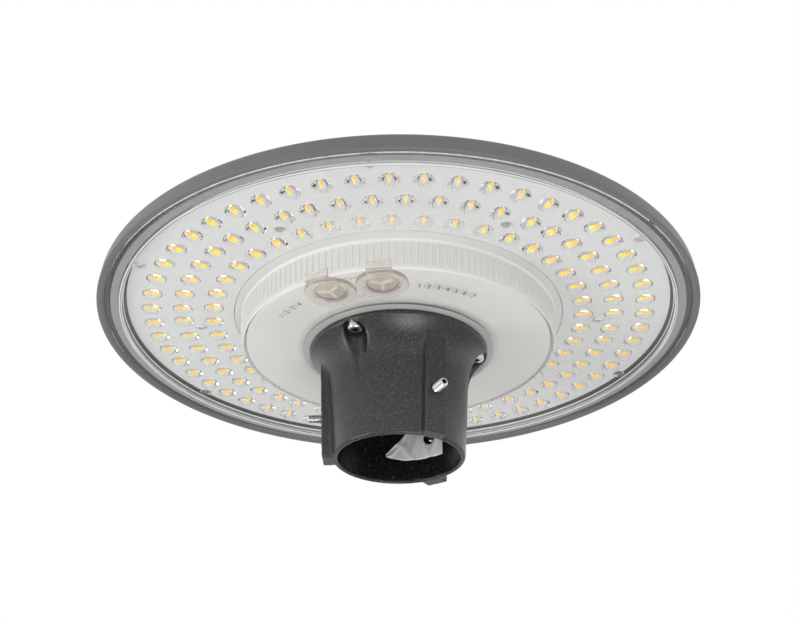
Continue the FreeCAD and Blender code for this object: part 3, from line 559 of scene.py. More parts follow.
# %% Housing
HEAD_RADIUS = 200.0
LIP = 94.0
LEDGE = LIP + 5.8
SEAT = LIP + 9.5
CROWN_FOOT = LIP + 14.8
CROWN_EDGE = LIP + 27.8
CROWN_TOP = LIP + 53.8
BAY_RADIUS = 100.0
CASTING_WALL = 3.0
COVER_RADIUS = 194.8
RECESS = COVER_RADIUS + 0.4
BOSS_CIRCLE = 52.0
BOSS_ANGLES = (-32.0, 88.0, 208.0)
BOSS_RADIUS = 6.0
BOSS_LOW = LIP - 13.9
BOSS_HIGH = CROWN_TOP - 8.6
BOARD_RECESS = 186.4


def make_housing():
    """The lip and the side come first, then the brim, the crown, the bay and the seats."""
    crown_radius = BAY_RADIUS + CASTING_WALL
    bm = bmesh.new()
    turn_outline(bm, [
        (RECESS + 2.0, LIP, 0.5), (HEAD_RADIUS, LIP, 0.9), (HEAD_RADIUS - 1.2, LIP + 10.0, 1.6),
        (HEAD_RADIUS - 4.0, LIP + 12.2, 1.0), (crown_radius + 4.0, CROWN_FOOT, 4.0),
        *reversed(arc_corners(crown_radius, CROWN_EDGE, CROWN_TOP)),
        *arc_corners(BAY_RADIUS, CROWN_EDGE - CASTING_WALL, CROWN_TOP - CASTING_WALL),
        (BAY_RADIUS, SEAT, 0), (BOARD_RECESS, SEAT, 0), (BOARD_RECESS, LEDGE, 0.3),
        (RECESS, LEDGE, 0), (RECESS, LIP + 1.2, 0.3),
    ], 300)
    for angle in BOSS_ANGLES:
        add_cylinder(bm, BOSS_RADIUS, BOSS_LOW, BOSS_HIGH, at(BOSS_CIRCLE, angle), 32)
    make_piece(bm, "smooth_housing", HEAD, [housing_paint], "dome_housing", 30.0)


make_housing()

# %% [markdown]
# ## The clear cover
#
# The real cover is one moulding: a flat rim, a lens plate, and a shallow bulge in the
# middle with 150 fine ribs round its wall. A turned outline gives all of it but the ribs.
# The outline is turned in eight steps to a rib, so a rib is made by pushing two of each
# eight columns outwards along the bulge's wall. The ribs and the rounded corners have a
# frosted skin, and the rest is polished. Then the holes under the caps and in the middle
# are cut.

# %% Cover shell
PLATE = LIP + 4.8
FACE = LIP - 16.0
COVER_WALL = 2.0
BULGE = 105.3
DRAFT = 1.0
RIB_COUNT = 150
STEPS_PER_RIB = 8
RIB_HEIGHT = 0.9
RIB_LOW = FACE + 3.9
RIB_HIGH = PLATE - 2.9
RIM_LOW = LIP + 0.6
RIM_TOP = LIP + 2.6
UPSTAND = (183.6, 185.6)
SOFT_CORNERS = (BULGE, 184.5)
CORNER_REACH = 2.0
GLAND_HOLE = 10.3
SELECTOR_CIRCLE = 89.8
DIAL_ANGLES = {"power": -27.5, "colour": -6.2}
CAP_HOLE = 11.2


def bulge_wall(height):
    """Radius of the bulge's wall, which has a little draft."""
    return BULGE - DRAFT * (PLATE - height) / (PLATE - FACE)


def make_cover():
    bm = bmesh.new()
    turn_outline(bm, [
        (COVER_RADIUS, RIM_TOP, 0.3), (COVER_RADIUS, RIM_LOW, 0.5),
        (185.8, RIM_LOW, 0.3), (184.7, LIP, 0.4), (UPSTAND[0], RIM_LOW, 0.2),
        (UPSTAND[0], PLATE, 0.8),
        (bulge_wall(PLATE), PLATE, 1.8),
        (bulge_wall(RIB_HIGH + 0.5), RIB_HIGH + 0.5, 0), (bulge_wall(RIB_HIGH), RIB_HIGH, 0),
        (bulge_wall(RIB_LOW), RIB_LOW, 0), (bulge_wall(RIB_LOW - 0.5), RIB_LOW - 0.5, 0),
        (bulge_wall(FACE), FACE, 3.0),
        (GLAND_HOLE, FACE, 0), (GLAND_HOLE, FACE + COVER_WALL, 0),
        (bulge_wall(FACE) - COVER_WALL, FACE + COVER_WALL, 1.2),
        (BULGE - COVER_WALL, PLATE + COVER_WALL, 0.5),
        (UPSTAND[1], PLATE + COVER_WALL, 0.4), (UPSTAND[1], RIM_TOP, 0.3),
    ], RIB_COUNT * STEPS_PER_RIB)
    crest = 0
    frosted = set()
    for vert in bm.verts:
        radius = math.hypot(vert.co.x, vert.co.y)
        on_wall = RIB_LOW - 0.01 < vert.co.z < RIB_HIGH + 0.01
        if not on_wall or abs(radius - bulge_wall(vert.co.z)) > 0.1:
            continue
        step = round(math.degrees(math.atan2(vert.co.y, vert.co.x))
                     * RIB_COUNT * STEPS_PER_RIB / 360.0)
        if step % STEPS_PER_RIB in (0, 1):
            vert.co.xy *= (radius + RIB_HEIGHT) / radius
            crest += 1
            frosted.update(vert.link_faces)
    for face in bm.faces:
        middle = face.calc_center_median()
        radius = math.hypot(middle.x, middle.y)
        on_corner = any(abs(radius - edge) < CORNER_REACH for edge in SOFT_CORNERS)
        slopes = 0.03 < abs(face.normal.z) < 0.98
        if on_corner and slopes:
            frosted.add(face)
    for face in frosted:
        face.material_index = 1
    print(crest, "points pushed out for the ribs and", len(frosted), "faces frosted")
    return make_piece(bm, "lens_cover_clear", HEAD, [cover_clear, rib_frost],
                      "lens_cover", 30.0)


cover = make_cover()
holes = bmesh.new()
for angle in DIAL_ANGLES.values():
    add_cylinder(holes, CAP_HOLE, FACE - 5, FACE + 5, at(SELECTOR_CIRCLE, angle))
cut_or_join(cover, holes, "DIFFERENCE")
print("cover has", len(cover.data.polygons), "faces")

# %% [markdown]
# ## The lenses
#
# A lens sits under each pair of LEDs. It is a low dome with a saddle across its middle and
# a long hollow behind, which spreads the light sideways along the street. Looked at from
# the side, the same shape fills the whole lens with the LEDs. From the front they show as
# a narrow strip. A solid dome would hide them: its flat back would be a mirror at this
# angle. So one half sphere makes the front, a smaller one makes the hollow, and bridging
# their rims closes the lens. The finished lens is copied to its places, a hair below the
# plate.

# %% Lens places
RINGS = ((124.5, 42, -1.7), (144.8, 48, 1.7), (165.1, 54, -1.7))
INNER_SCREW_ANGLE = 28.3
OUTER_SCREW_ANGLE = -5.1
DODGE = 1.0
HAIR = 0.05


def lens_places():
    """Radius and angle of every lens. Six in the middle ring make way for a screw."""
    places = []
    for number, (radius, count, phase) in enumerate(RINGS):
        for step in range(count):
            angle = phase + 360.0 * step / count
            past = (angle - INNER_SCREW_ANGLE) % 60.0
            dodges = number == 1 and past < 180.0 / count
            places.append((radius, angle + (DODGE if dodges else 0.0)))
    return places


places = lens_places()
print(len(places), "lenses")

# %% Lens domes
LENS_RADIUS = 6.5
LENS_HEIGHT = 4.4
SADDLE_DEPTH = 0.25
SADDLE_WIDTH = 1.9
HOLLOW = (2.8, 5.3, 3.1)
SCREW_DOME = (4.3, 4.3, 1.3)
INNER_SCREWS = 134.8
OUTER_SCREWS = 178.3


def copy_round(bm, verts, spots):
    """Copies of a shape that stands at the origin, one for each radius and angle."""
    parts = list({item for vert in verts for item in (vert, *vert.link_edges, *vert.link_faces)})
    for radius, angle in spots:
        copy = bmesh.ops.duplicate(bm, geom=parts)["geom"]
        moved = [item for item in copy if isinstance(item, bmesh.types.BMVert)]
        place = Matrix.Translation(at(radius, angle)) @ turned(angle)
        bmesh.ops.transform(bm, matrix=place, verts=moved)
    bmesh.ops.delete(bm, geom=list(verts), context="VERTS")


def half_dome(size, level, rings=10):
    """Lower half of a flattened sphere, open where it hangs from a level."""
    bm = bmesh.new()
    bmesh.ops.create_uvsphere(bm, u_segments=20, v_segments=rings, radius=1.0)
    bmesh.ops.bisect_plane(bm, geom=bm.verts[:] + bm.edges[:] + bm.faces[:], dist=0.001,
                           plane_co=(0, 0, 0), plane_no=(0, 0, 1), clear_outer=True)
    bmesh.ops.scale(bm, vec=size, verts=bm.verts)
    bmesh.ops.translate(bm, vec=(0, 0, level), verts=bm.verts)
    return bm


def add_mesh(bm, other):
    """Put one bmesh into another."""
    mesh = as_mesh(other, "part")
    bm.from_mesh(mesh)
    bpy.data.meshes.remove(mesh)


def make_lenses():
    level = PLATE - HAIR
    bm = half_dome((LENS_RADIUS, LENS_RADIUS, LENS_HEIGHT), level)
    for vert in bm.verts:
        dip = SADDLE_DEPTH * math.exp(-(vert.co.x / SADDLE_WIDTH) ** 2)
        vert.co.z = level + (vert.co.z - level) * (1.0 - dip)
    add_mesh(bm, half_dome(HOLLOW, level + HAIR / 2))
    bmesh.ops.bridge_loops(bm, edges=[edge for edge in bm.edges if edge.is_boundary])
    bmesh.ops.recalc_face_normals(bm, faces=bm.faces)
    print("one lens has", len(bm.faces), "faces and", round(bm.calc_volume()), "cubic mm")
    copy_round(bm, list(bm.verts), places)
    make_piece(bm, "lens_cover_lenses", HEAD, [lens_clear], None, 50.0)


make_lenses()


def make_screw_domes():
    """Small clear domes over the board's screws."""
    bm = half_dome(SCREW_DOME, PLATE - HAIR, 8)
    bmesh.ops.contextual_create(bm, geom=[edge for edge in bm.edges if edge.is_boundary])
    bmesh.ops.recalc_face_normals(bm, faces=bm.faces)
    spots = [(INNER_SCREWS, INNER_SCREW_ANGLE + 60.0 * step) for step in range(6)]
    spots += [(OUTER_SCREWS, OUTER_SCREW_ANGLE + 60.0 * step) for step in range(6)]
    copy_round(bm, list(bm.verts), spots)
    make_piece(bm, "lens_cover_screw_domes", HEAD, [cover_clear], None, 50.0)


make_screw_domes()

# %% [markdown]
# ## The LEDs
#
# Each LED is a small white package with a window of phosphor that faces down. The package
# is a box whose lower face is inset and pushed in a little; the inset face takes the
# phosphor. The outer LED of each pair is the warm one.

# %% LED packages
LED_WIDTH = 3.1
LED_LENGTH = 3.7
LED_LOW = LIP + 7.2
LED_HIGH = LED_LOW + 0.7
LED_GAP = 0.35
LED_FRAME = 0.14
LED_SINK = 0.06


def make_leds(name, node, side, phosphor):
    """side is 1 for the outer LED of a pair and -1 for the inner one."""
    bm = bmesh.new()
    add_box(bm, (LED_WIDTH, LED_LENGTH, LED_HIGH - LED_LOW),
            (0, -side * (LED_LENGTH + LED_GAP) / 2, (LED_LOW + LED_HIGH) / 2))
    bm.normal_update()
    window = [face for face in bm.faces if face.normal.z < -0.9]
    bmesh.ops.inset_individual(bm, faces=window, thickness=LED_FRAME, depth=-LED_SINK)
    window[0].material_index = 1
    copy_round(bm, list(bm.verts), places)
    make_piece(bm, name, HEAD, [package_white, phosphor], node, 20.0)


make_leds("warm_led_packages", "warm_leds", 1, warm_phosphor)
make_leds("cool_led_packages", "cool_leds", -1, cool_phosphor)

# %% [markdown]
# ## The tray behind the bulge
#
# A white tray fills the bulge from behind and meets the LED board with a flange, so the
# ribbed wall looks white too. The tray's own wall is painted grey as shade between the ribs,
# so the ribs stand out. Its middle is dished a little, so a soft line runs round the socket's
# flange through the clear face. A hair of skin hides the ends of the driver's screws.

# %% Tray
SCREW_END_SKIN = 0.04
TRAY = FACE + COVER_WALL + 0.3 - SCREW_END_SKIN
TRAY_RADIUS = 101.6
TRAY_WALL = 1.6
TRAY_FLANGE = 110.6
BOARD_LOW = LIP + 7.9
DISH = 0.9
DISH_RADIUS = 64.2
TRAY_HOLE = 13.0
SPINDLE_WAY = 3.5
BOSS_WAY = BOSS_RADIUS + 0.5


def make_tray():
    bm = bmesh.new()
    turn_outline(bm, [
        (TRAY_HOLE, TRAY + DISH, 0), (DISH_RADIUS, TRAY + DISH, 1.0), (67.3, TRAY, 1.2),
        (TRAY_RADIUS, TRAY, 1.4), (TRAY_RADIUS, BOARD_LOW, 1.2), (TRAY_FLANGE, BOARD_LOW, 0),
        (TRAY_FLANGE, SEAT, 0),
        (TRAY_RADIUS - TRAY_WALL, SEAT, 0), (TRAY_RADIUS - TRAY_WALL, TRAY + TRAY_WALL, 0),
        (TRAY_HOLE, TRAY + TRAY_WALL, 0),
    ], 240)
    # The tray's outer wall takes the grey finish, as painted shade between the ribs.
    for face in bm.faces:
        middle = face.calc_center_median()
        outer = math.hypot(middle.x, middle.y) > TRAY_RADIUS - 0.5
        if outer and abs(face.normal.z) < 0.3 and middle.z < BOARD_LOW:
            face.material_index = 1
    piece = make_piece(bm, "dished_tray", HEAD, [tray_white, painted_shade_tray_wall],
                       "driver_tray")
    ways = bmesh.new()
    for angle in DIAL_ANGLES.values():
        add_cylinder(ways, SPINDLE_WAY, TRAY - 2, TRAY + 4, at(SELECTOR_CIRCLE, angle))
    for angle in BOSS_ANGLES:
        add_cylinder(ways, BOSS_WAY, TRAY - 2, TRAY + 4, at(BOSS_CIRCLE, angle))
    cut_or_join(piece, ways, "DIFFERENCE")


make_tray()

# %% [markdown]
# ## The cast socket
#
# The socket is a casting: a tapered tube with a flared flange, three clamping pads and a
# long tool groove beside each fixing screw. The solids are joined and cut first. Then the
# whole skin is remade in cells under a millimetre and relaxed, which rounds every edge the
# way sand and paint do. Faces inside the bore take the glossy coat.

# %% Socket
BORE = 39.0
BORE_SKIN = 0.3
MOUTH = 42.4
STOP = 64.0
STOP_HOLE = 30.0
FLANGE = 59.4
FLANGE_LOW = FACE - 3.8
FLANGE_HIGH = FACE - 0.8
HEAD_SEAT = FACE - 2.6
NECK = (45.8, 49.0)
FLARE = 34.0
FLARE_STEPS = 10
PAD_ANGLES = {"right": 28.0, "rear": 148.0, "left": 268.0}
CLAMP_LEVEL = 29.5
CLAMP_HOLE = 3.05
BOSS_HOLE = 2.75
GROOVE_RADIUS = 7.5
PAD_HALF_WIDTH = 7.5
PAD_SIDE = ((40.5, 0.0), (49.0, 0.0), (51.5, 67.0), (40.5, 67.0))
CELL = 0.0009
RELAXING = 5


def flare_corners():
    """Corners on the concave arc between the neck and the flange."""
    start = Vector(NECK)
    end = Vector((FLANGE, FLANGE_LOW))
    chord = end - start
    side = Vector((chord.y, -chord.x)).normalized()
    middle = (start + end) / 2
    centre = middle + side * math.sqrt(FLARE ** 2 - (chord.length / 2) ** 2)
    first = math.atan2(*(start - centre).yx)
    last = math.atan2(*(end - centre).yx)
    sweep = (last - first + math.pi) % math.tau - math.pi
    turns = [first + sweep * step / FLARE_STEPS for step in range(1, FLARE_STEPS)]
    return [(centre.x + FLARE * math.cos(turn), centre.y + FLARE * math.sin(turn), 0)
            for turn in turns]


def add_pad(bm, angle):
    """Clamping pad: a block on the neck whose outer face leans out a little."""
    rows = [[bm.verts.new((across, -reach, height)) for reach, height in PAD_SIDE]
            for across in (-PAD_HALF_WIDTH, PAD_HALF_WIDTH)]
    bm.faces.new(rows[0])
    bm.faces.new(reversed(rows[1]))
    for number in range(4):
        after = (number + 1) % 4
        bm.faces.new((rows[0][after], rows[0][number], rows[1][number], rows[1][after]))
    bmesh.ops.transform(bm, verts=rows[0] + rows[1], matrix=turned(angle))


def outward(angle, start, level):
    """Place for a shape that is drawn along Z, so that it points away from the axis."""
    lie = Matrix.Rotation(math.radians(90), 4, "X")
    return turned(angle) @ Matrix.Translation((0, -start, level)) @ lie


def add_radial_cylinder(bm, radius, start, end, angle, level):
    """Cylinder that points away from the axis."""
    made = bmesh.ops.create_cone(bm, cap_ends=True, segments=32, radius1=radius,
                                 radius2=radius, depth=end - start)["verts"]
    bmesh.ops.transform(bm, verts=made, matrix=outward(angle, (start + end) / 2, level))


def remake_skin(piece):
    """Voxel skin and smoothing, applied to the mesh at once."""
    skin = piece.modifiers.new("skin", "REMESH")
    skin.mode = "VOXEL"
    skin.voxel_size = CELL
    relax = piece.modifiers.new("relax", "SMOOTH")
    relax.factor = 0.5
    relax.iterations = RELAXING
    finishes = list(piece.data.materials)
    apply_steps(piece)
    piece.data.materials.clear()
    for finish in finishes:
        piece.data.materials.append(finish)
    piece.data.shade_smooth()


def make_socket():
    bm = bmesh.new()
    turn_outline(bm, [
        (BORE, 0, 0.5), (MOUTH, 0, 1.0), (*NECK, 0), *flare_corners(),
        (FLANGE, FLANGE_LOW, 0.5), (FLANGE, FLANGE_HIGH, 0.3), (STOP_HOLE, FLANGE_HIGH, 0),
        (STOP_HOLE, STOP, 0.5), (BORE, STOP, 0),
    ], 240)
    piece = make_piece(bm, "cast_socket", HEAD, [socket_paint, bore_paint],
                       "post_adapter")
    pads = bmesh.new()
    for angle in PAD_ANGLES.values():
        add_pad(pads, angle)
    bmesh.ops.recalc_face_normals(pads, faces=pads.faces)
    cut_or_join(piece, pads, "UNION")
    grooves = bmesh.new()
    for angle in BOSS_ANGLES:
        add_cylinder(grooves, GROOVE_RADIUS, 20.0, HEAD_SEAT, at(BOSS_CIRCLE, angle))
    cut_or_join(piece, grooves, "DIFFERENCE")
    holes = bmesh.new()
    for angle in PAD_ANGLES.values():
        add_radial_cylinder(holes, CLAMP_HOLE, 30.0, 60.0, angle, CLAMP_LEVEL)
    for angle in BOSS_ANGLES:
        add_cylinder(holes, BOSS_HOLE, FACE - 4.0, FACE, at(BOSS_CIRCLE, angle), 24)
    cut_or_join(piece, holes, "DIFFERENCE")
    remake_skin(piece)
    for face in piece.data.polygons:
        inside = math.hypot(face.center.x, face.center.y) < (BORE + BORE_SKIN) * MM
        if inside and face.center.z < (STOP + BORE_SKIN) * MM:
            face.material_index = 1
    print("socket skin", len(piece.data.polygons), "faces")


make_socket()

# %% [markdown]
# ## Screws
#
# A screw is a skin of rows round an axis. Each row has its height and a rule that gives
# the radius at each angle, so one function makes round shanks, real threads and hexagon
# sockets alike.

# %% Screws
SIDES = 24
SCREW_LENGTH = 20.0
TIP_GAP = 0.4
HEXAGON_DEPTH = 3.0
HEXAGON_RADIUS = 1.73
SOCKET_REACH = 1.8
THREAD_LOW = 1.4
THREAD_HIGH = 19.2
THREAD_RADIUS = 2.98
THREAD_DEPTH = 0.5
THREAD_ROOT = 2.60
PITCH = 1.0
ROWS_PER_PITCH = 6


def hexagon(corner):
    """Rule for a hexagon: the radius at each angle."""
    sixth = math.pi / 3
    return lambda turn: corner * math.cos(sixth / 2) / math.cos((turn % sixth) - sixth / 2)


def round_rule(radius):
    return lambda turn: radius


def thread_rule(height):
    """Rule for one row of a thread: the crest climbs one pitch in a turn."""
    def rule(turn):
        phase = height / PITCH * math.tau - turn
        return THREAD_RADIUS - THREAD_DEPTH * (0.5 - 0.5 * math.cos(phase))
    return rule


def add_rows(bm, rows, matrix):
    """Skin through rows of (height, rule), closed at both ends."""
    rings = []
    for height, rule in rows:
        ring = []
        for side in range(SIDES):
            turn = math.tau * side / SIDES
            radius = rule(turn)
            ring.append(bm.verts.new(matrix @ Vector((
                radius * math.cos(turn), radius * math.sin(turn), height))))
        rings.append(ring)
    for low, high in zip(rings, rings[1:]):
        for side in range(SIDES):
            after = (side + 1) % SIDES
            bm.faces.new((low[side], low[after], high[after], high[side]))
    bm.faces.new(reversed(rings[0]))
    bm.faces.new(rings[-1])


def threaded():
    """Rows of the thread between its two heights."""
    length = THREAD_HIGH - THREAD_LOW
    count = round(length / PITCH * ROWS_PER_PITCH)
    heights = [THREAD_LOW + length * step / count for step in range(count + 1)]
    return [(height, thread_rule(height)) for height in heights]


def make_clamp_screw(name, angle):
    """M6 set screw with a cone point, and painted shade in its thread roots and hexagon socket.
    """
    bm = bmesh.new()
    rows = [(0.0, round_rule(1.4)), (1.2, round_rule(2.5)), *threaded(),
            (SCREW_LENGTH - 0.5, round_rule(2.8)), (SCREW_LENGTH, round_rule(2.35)),
            (SCREW_LENGTH, hexagon(HEXAGON_RADIUS)),
            (SCREW_LENGTH - HEXAGON_DEPTH, hexagon(HEXAGON_RADIUS - 0.03))]
    place = outward(angle, BORE + TIP_GAP, CLAMP_LEVEL)
    add_rows(bm, rows, place)
    # Thread roots and the hexagon socket take the darker steel: painted shade.
    back = place.inverted()
    for face in bm.faces:
        middle = back @ face.calc_center_median()
        radius = math.hypot(middle.x, middle.y)
        on_thread = THREAD_LOW + 0.1 < middle.z < THREAD_HIGH and radius < THREAD_ROOT
        in_socket = middle.z > SCREW_LENGTH - HEXAGON_DEPTH - 0.1 and radius < SOCKET_REACH
        if on_thread or in_socket:
            face.material_index = 1
    make_piece(bm, "threaded_%s_screw" % name, "clamp_" + name,
               [steel, steel_with_painted_shade], "clamp_screw_" + name, 50.0)


for name, angle in PAD_ANGLES.items():
    make_clamp_screw(name, angle)


def make_fixing_screws():
    """M5 socket head screws that look down out of the flange."""
    bm = bmesh.new()
    rows = [(-2.5, hexagon(2.25)), (-5.0, hexagon(2.3)), (-5.0, round_rule(3.7)),
            (-4.75, round_rule(4.45)), (-4.2, round_rule(4.8)), (-3.4, round_rule(4.9)),
            (0.0, round_rule(4.9)), (0.0, round_rule(2.5)), (16.0, round_rule(2.5)),
            (18.6, round_rule(2.1))]
    for angle in BOSS_ANGLES:
        add_rows(bm, rows, Matrix.Translation(at(BOSS_CIRCLE, angle, HEAD_SEAT)))
    bmesh.ops.recalc_face_normals(bm, faces=bm.faces)
    # The hexagon sockets take the darker steel: painted shade.
    for face in bm.faces:
        middle = face.calc_center_median()
        reach = min((middle - at(BOSS_CIRCLE, angle, middle.z)).length for angle in BOSS_ANGLES)
        if reach < 2.32 and middle.z < HEAD_SEAT:
            face.material_index = 1
    make_piece(bm, "socket_head_screws", HEAD, [steel, steel_with_painted_shade], "adapter_screws",
               40.0)


make_fixing_screws()

# %% [markdown]
# ## Dials and caps
#
# Two dials sit behind soft clear caps. A dial is a cream disc with three raised blades, painted
# paler as a highlight.
# The caps are one moulding: two shallow cups, two straps between them and a hook on each cup
# that grips the bulge's edge.

# %% Dials and caps
DIAL_FRONT = FACE - 1.0
DIAL_PLATE = DIAL_FRONT + 1.3
DIAL_BACK = DIAL_PLATE + 1.4
DIAL_RADIUS = 9.3
DIAL_SPINDLE = 3.0
SPINDLE_END = DIAL_BACK + 7.0
BLADE_WIDTH = 2.2
BLADE_LENGTH = 7.8
BLADE_SINK = 0.4
CAP_FRONT = FACE - 2.4
CAP_SKIN = 1.0
CAP_BACK = FACE - 0.05
CAP_RADIUS = 16.2
CAP_NECK = 11.0
SOFT_EDGE = 0.0004


def make_dial(name, angle):
    bm = bmesh.new()
    turn_outline(bm, [
        (0, DIAL_PLATE, 0), (DIAL_RADIUS, DIAL_PLATE, 0.5), (DIAL_RADIUS, DIAL_BACK, 0.2),
        (DIAL_SPINDLE, DIAL_BACK, 0), (DIAL_SPINDLE, SPINDLE_END, 0.3), (0, SPINDLE_END, 0),
    ], 64)
    foot = DIAL_PLATE + BLADE_SINK
    for blade in range(3):
        box = add_box(bm, (BLADE_WIDTH, BLADE_LENGTH, foot - DIAL_FRONT),
                      (0, BLADE_LENGTH / 2, (DIAL_FRONT + foot) / 2))
        bmesh.ops.transform(bm, verts=box, matrix=turned(120 * blade))
        edges = list({edge for vert in box for edge in vert.link_edges})
        bmesh.ops.bevel(bm, geom=edges, offset=0.45, segments=3, affect="EDGES", profile=0.5)
    # The blades take the paler cream: a painted highlight.
    for face in bm.faces:
        if face.calc_center_median().z < DIAL_PLATE - 0.15:
            face.material_index = 1
    place = Matrix.Translation(at(SELECTOR_CIRCLE, angle)) @ turned(angle)
    bmesh.ops.transform(bm, matrix=place, verts=bm.verts)
    make_piece(bm, "bladed_%s_dial" % name, name + "_dial",
               [dial_cream, blade_painted_highlight], name + "_dial", 35.0)


for name, angle in DIAL_ANGLES.items():
    make_dial(name, angle)


def add_cap(bm, angle):
    """Cup over one dial, open behind, with its neck in the cover's hole."""
    cup = bmesh.new()
    turn_outline(cup, [
        (0, CAP_FRONT, 0), (10.6, CAP_FRONT, 0.6), (11.4, CAP_FRONT + 0.5, 0.5),
        (12.6, CAP_FRONT, 0.6), (CAP_RADIUS, CAP_FRONT, 1.1), (CAP_RADIUS, CAP_BACK, 0.2),
        (CAP_NECK, CAP_BACK, 0), (CAP_NECK, FACE + COVER_WALL, 0.3),
        (CAP_NECK - CAP_SKIN, FACE + COVER_WALL, 0),
        (CAP_NECK - CAP_SKIN, CAP_FRONT + CAP_SKIN, 0.4), (0, CAP_FRONT + CAP_SKIN, 0)], 96)
    bmesh.ops.translate(cup, verts=cup.verts, vec=at(SELECTOR_CIRCLE, angle))
    add_mesh(bm, cup)


def join_block(piece, low, high, turn, place=(0, 0, 0)):
    """Join a block between two corners, turned about Z and then moved."""
    low = Vector(low)
    high = Vector(high)
    bm = bmesh.new()
    box = add_box(bm, high - low, (low + high) / 2)
    bmesh.ops.transform(bm, verts=box, matrix=Matrix.Translation(place) @ turned(turn))
    cut_or_join(piece, bm, "UNION")


def make_caps():
    angles = list(DIAL_ANGLES.values())
    bm = bmesh.new()
    add_cap(bm, angles[0])
    piece = make_piece(bm, "soft_caps", HEAD, [cap_silicone], "selector_caps")
    second = bmesh.new()
    add_cap(second, angles[1])
    cut_or_join(piece, second, "UNION")
    wall = BULGE + RIB_HEIGHT + 0.3
    for angle in angles:
        join_block(piece, (-7.75, -wall - 1.3, FACE - 1.3), (7.75, -101.5, FACE - 0.1), angle)
        join_block(piece, (-7.7, -wall - 1.25, FACE - 0.6), (7.7, -wall, FACE + 5.0), angle)
    first, last = [at(SELECTOR_CIRCLE, angle) for angle in angles]
    span = last - first
    for side in (-11.0, 10.0):
        join_block(piece, (8.0, side, FACE - 0.9), (span.length - 8.0, side + 1.0, FACE - 0.1),
                   math.degrees(math.atan2(span.y, span.x)), first)
    soft = piece.modifiers.new("soft_edges", "BEVEL")
    soft.width = SOFT_EDGE
    soft.segments = 2
    soft.limit_method = "ANGLE"
    soft.angle_limit = math.radians(50)


make_caps()

# %% [markdown]
# ## The label in the bore
#
# A blank label is stuck inside the bore, on the far wall. The photo shows it torn at one
# end and creased, so its sheet follows the wall and lifts off it along a few folds. The
# rear clamping screw comes through a round hole that is punched in it.

# %% Label
LABEL_ANGLE = 162.6
LABEL_LOW = 15.5
LABEL_HIGH = 35.5
LABEL_HALF = 30.7
TORN_PART = 0.34
TORN_LOW = 0.12
TORN_HIGH = 0.78
FOLDS = ((0.14, 0.9, 0.7), (0.30, -0.8, 1.0), (0.47, 0.5, 0.6), (0.66, -0.5, 1.0),
         (0.84, 0.6, 0.7))
FOLD_SLANT = 0.35
FOLD_REACH = 0.08
OFF_THE_WALL = 0.25
PAPER = 0.00012
PUNCH = 4.2
PUNCH_INNER = PUNCH - 0.6
PUNCH_OUTER = PUNCH + 0.7


def fold_lift(along, up):
    """How far a crease lifts the sheet: each fold is a slanted ridge."""
    lift = 0.0
    for place, slant, height in FOLDS:
        reach = abs(along - place - slant * (up - 0.5) * FOLD_SLANT)
        lift = max(lift, height * (1.0 - reach / FOLD_REACH))
    return OFF_THE_WALL + lift


def punch(bm, screw_angle):
    """Round hole in the sheet, where a clamping screw comes through the wall."""
    inside = []
    rim = []
    for vert in bm.verts:
        angle = math.degrees(math.atan2(vert.co.x, -vert.co.y))
        across = math.radians(angle - screw_angle) * BORE
        up = vert.co.z - CLAMP_LEVEL
        reach = math.hypot(across, up)
        if reach < PUNCH_INNER:
            inside.append(vert)
        elif reach < PUNCH_OUTER:
            turn = math.degrees(across * PUNCH / reach / BORE)
            radius = math.hypot(vert.co.x, vert.co.y)
            vert.co = at(radius, screw_angle + turn, CLAMP_LEVEL + up * PUNCH / reach)
            rim.append(vert)
    bmesh.ops.delete(bm, geom=inside, context="VERTS")
    bmesh.ops.remove_doubles(bm, verts=rim, dist=0.3)
    print(len(rim), "points round the punched hole")


def make_label():
    bm = bmesh.new()
    columns = 56
    rows = 20
    grid = []
    for row in range(rows + 1):
        up = row / rows
        line = []
        for column in range(columns + 1):
            along = column / columns
            angle = LABEL_ANGLE + LABEL_HALF * (1 - 2 * along)
            torn = max(0.0, 1.0 - along / TORN_PART)
            low_edge = TORN_LOW * torn
            high_edge = 1.0 - TORN_HIGH * torn
            height = LABEL_LOW + (LABEL_HIGH - LABEL_LOW) * (
                low_edge + up * (high_edge - low_edge))
            line.append(bm.verts.new(at(BORE - fold_lift(along, up), angle, height)))
        grid.append(line)
    for low, high in zip(grid, grid[1:]):
        for column in range(columns):
            bm.faces.new((low[column], low[column + 1], high[column + 1], high[column]))
    punch(bm, PAD_ANGLES["rear"])
    bmesh.ops.recalc_face_normals(bm, faces=bm.faces)
    piece = make_piece(bm, "creased_label", HEAD, [label_paper], "blank_label",
                       12.0)
    paper = piece.modifiers.new("paper", "SOLIDIFY")
    paper.thickness = PAPER
    paper.offset = 0.0


make_label()

# %% [markdown]
# ## Printed numbers
#
# The face of the bulge carries small print beside the dials. Here it is two rows of plain
# numbers and ticks, in thin brown ink just over the clear face.

# %% Print
INK_LEVEL = FACE - 0.03
TICK_WIDTH = 0.32
# Count, radius, first angle, angle between two, size of a number and length of a tick.
PRINT_ROWS = ((13, 86.0, 8.6, 1.98, 6.0, 2.6), (7, 88.6, -56.8, 2.1, 5.6, 2.4))


def add_tick(bm, radius, angle, length):
    """Thin stroke on the face, along the radius."""
    side = TICK_WIDTH / 2
    end = length / 2
    corners = [(-side, -end), (side, -end), (side, end), (-side, end)]
    place = Matrix.Translation(at(radius, angle, INK_LEVEL)) @ turned(angle)
    bm.faces.new(reversed([bm.verts.new(place @ Vector((x, y, 0))) for x, y in corners]))


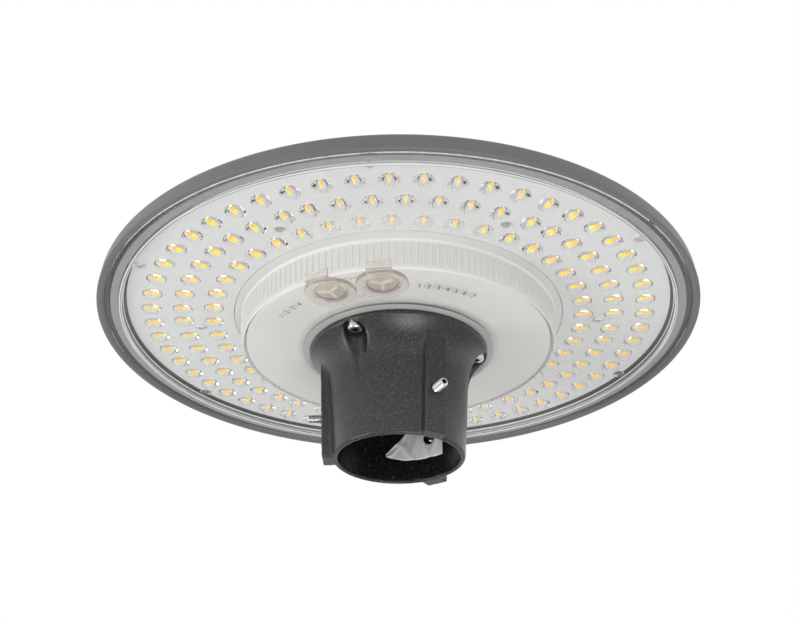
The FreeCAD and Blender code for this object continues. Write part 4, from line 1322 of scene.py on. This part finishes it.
def add_number(bm, text, radius, angle, size):
    """Plain number on the face, readable from below with its top away from the axis."""
    data = bpy.data.curves.new("number", "FONT")
    data.body = text
    data.size = size
    data.align_x = "CENTER"
    data.align_y = "CENTER"
    holder = add_object("number", data)
    made = shaped_mesh(holder)
    bpy.data.objects.remove(holder)
    flip = Matrix.Rotation(math.pi, 4, "Y") @ Matrix.Rotation(math.pi, 4, "Z")
    made.transform(Matrix.Translation(at(radius, angle, INK_LEVEL)) @ turned(angle) @ flip)
    bm.from_mesh(made)
    bpy.data.meshes.remove(made)


def make_print():
    """Rows of numbers with a tick between two."""
    bm = bmesh.new()
    for count, radius, first, pitch, size, tick in PRINT_ROWS:
        for step in range(count):
            angle = first + pitch * step
            if step % 2 == 0:
                add_number(bm, str(step // 2 + 1), radius, angle, size)
            else:
                add_tick(bm, radius, angle, tick)
    make_piece(bm, "plain_numbers", HEAD, [ink_brown], None, 30.0)


make_print()

# %% [markdown]
# ## Finishes for the CAD parts that stay
#
# Most parts have the right shape already. Each one gets a real finish in its slot.

# %% Dress the CAD nodes
DRESS = {
    "rim_seal": seal_grey, "led_board": board_mask, "board_screws": steel,
    "driver": driver_metal, "driver_screws": steel, "surge_protector": blue_plastic,
    "terminal_block": ivory_plastic, "power_selector": black_plastic,
    "colour_selector": black_plastic, "cable_gland": black_plastic,
    "adapter_gasket": gasket_grey,
}
for node, material in DRESS.items():
    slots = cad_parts[node].data.materials
    slots.clear()
    slots.append(material)
print(len(DRESS), "CAD nodes dressed")

# %% [markdown]
#
# The floor is a stage, not part of the lamp.

# %% Floor and finish
floor_mesh = bmesh.new()
bmesh.ops.create_grid(floor_mesh, x_segments=1, y_segments=1, size=FLOOR_SIZE)
bmesh.ops.translate(floor_mesh, vec=(0, 0, FLOOR_LEVEL), verts=floor_mesh.verts)
floor_data = as_mesh(floor_mesh, "floor")
floor_data.materials.append(plain_plastic("pale_floor", (0.86, 0.86, 0.85), 0.9, 0.0001, 60.0))
floor = add_object("floor", floor_data)
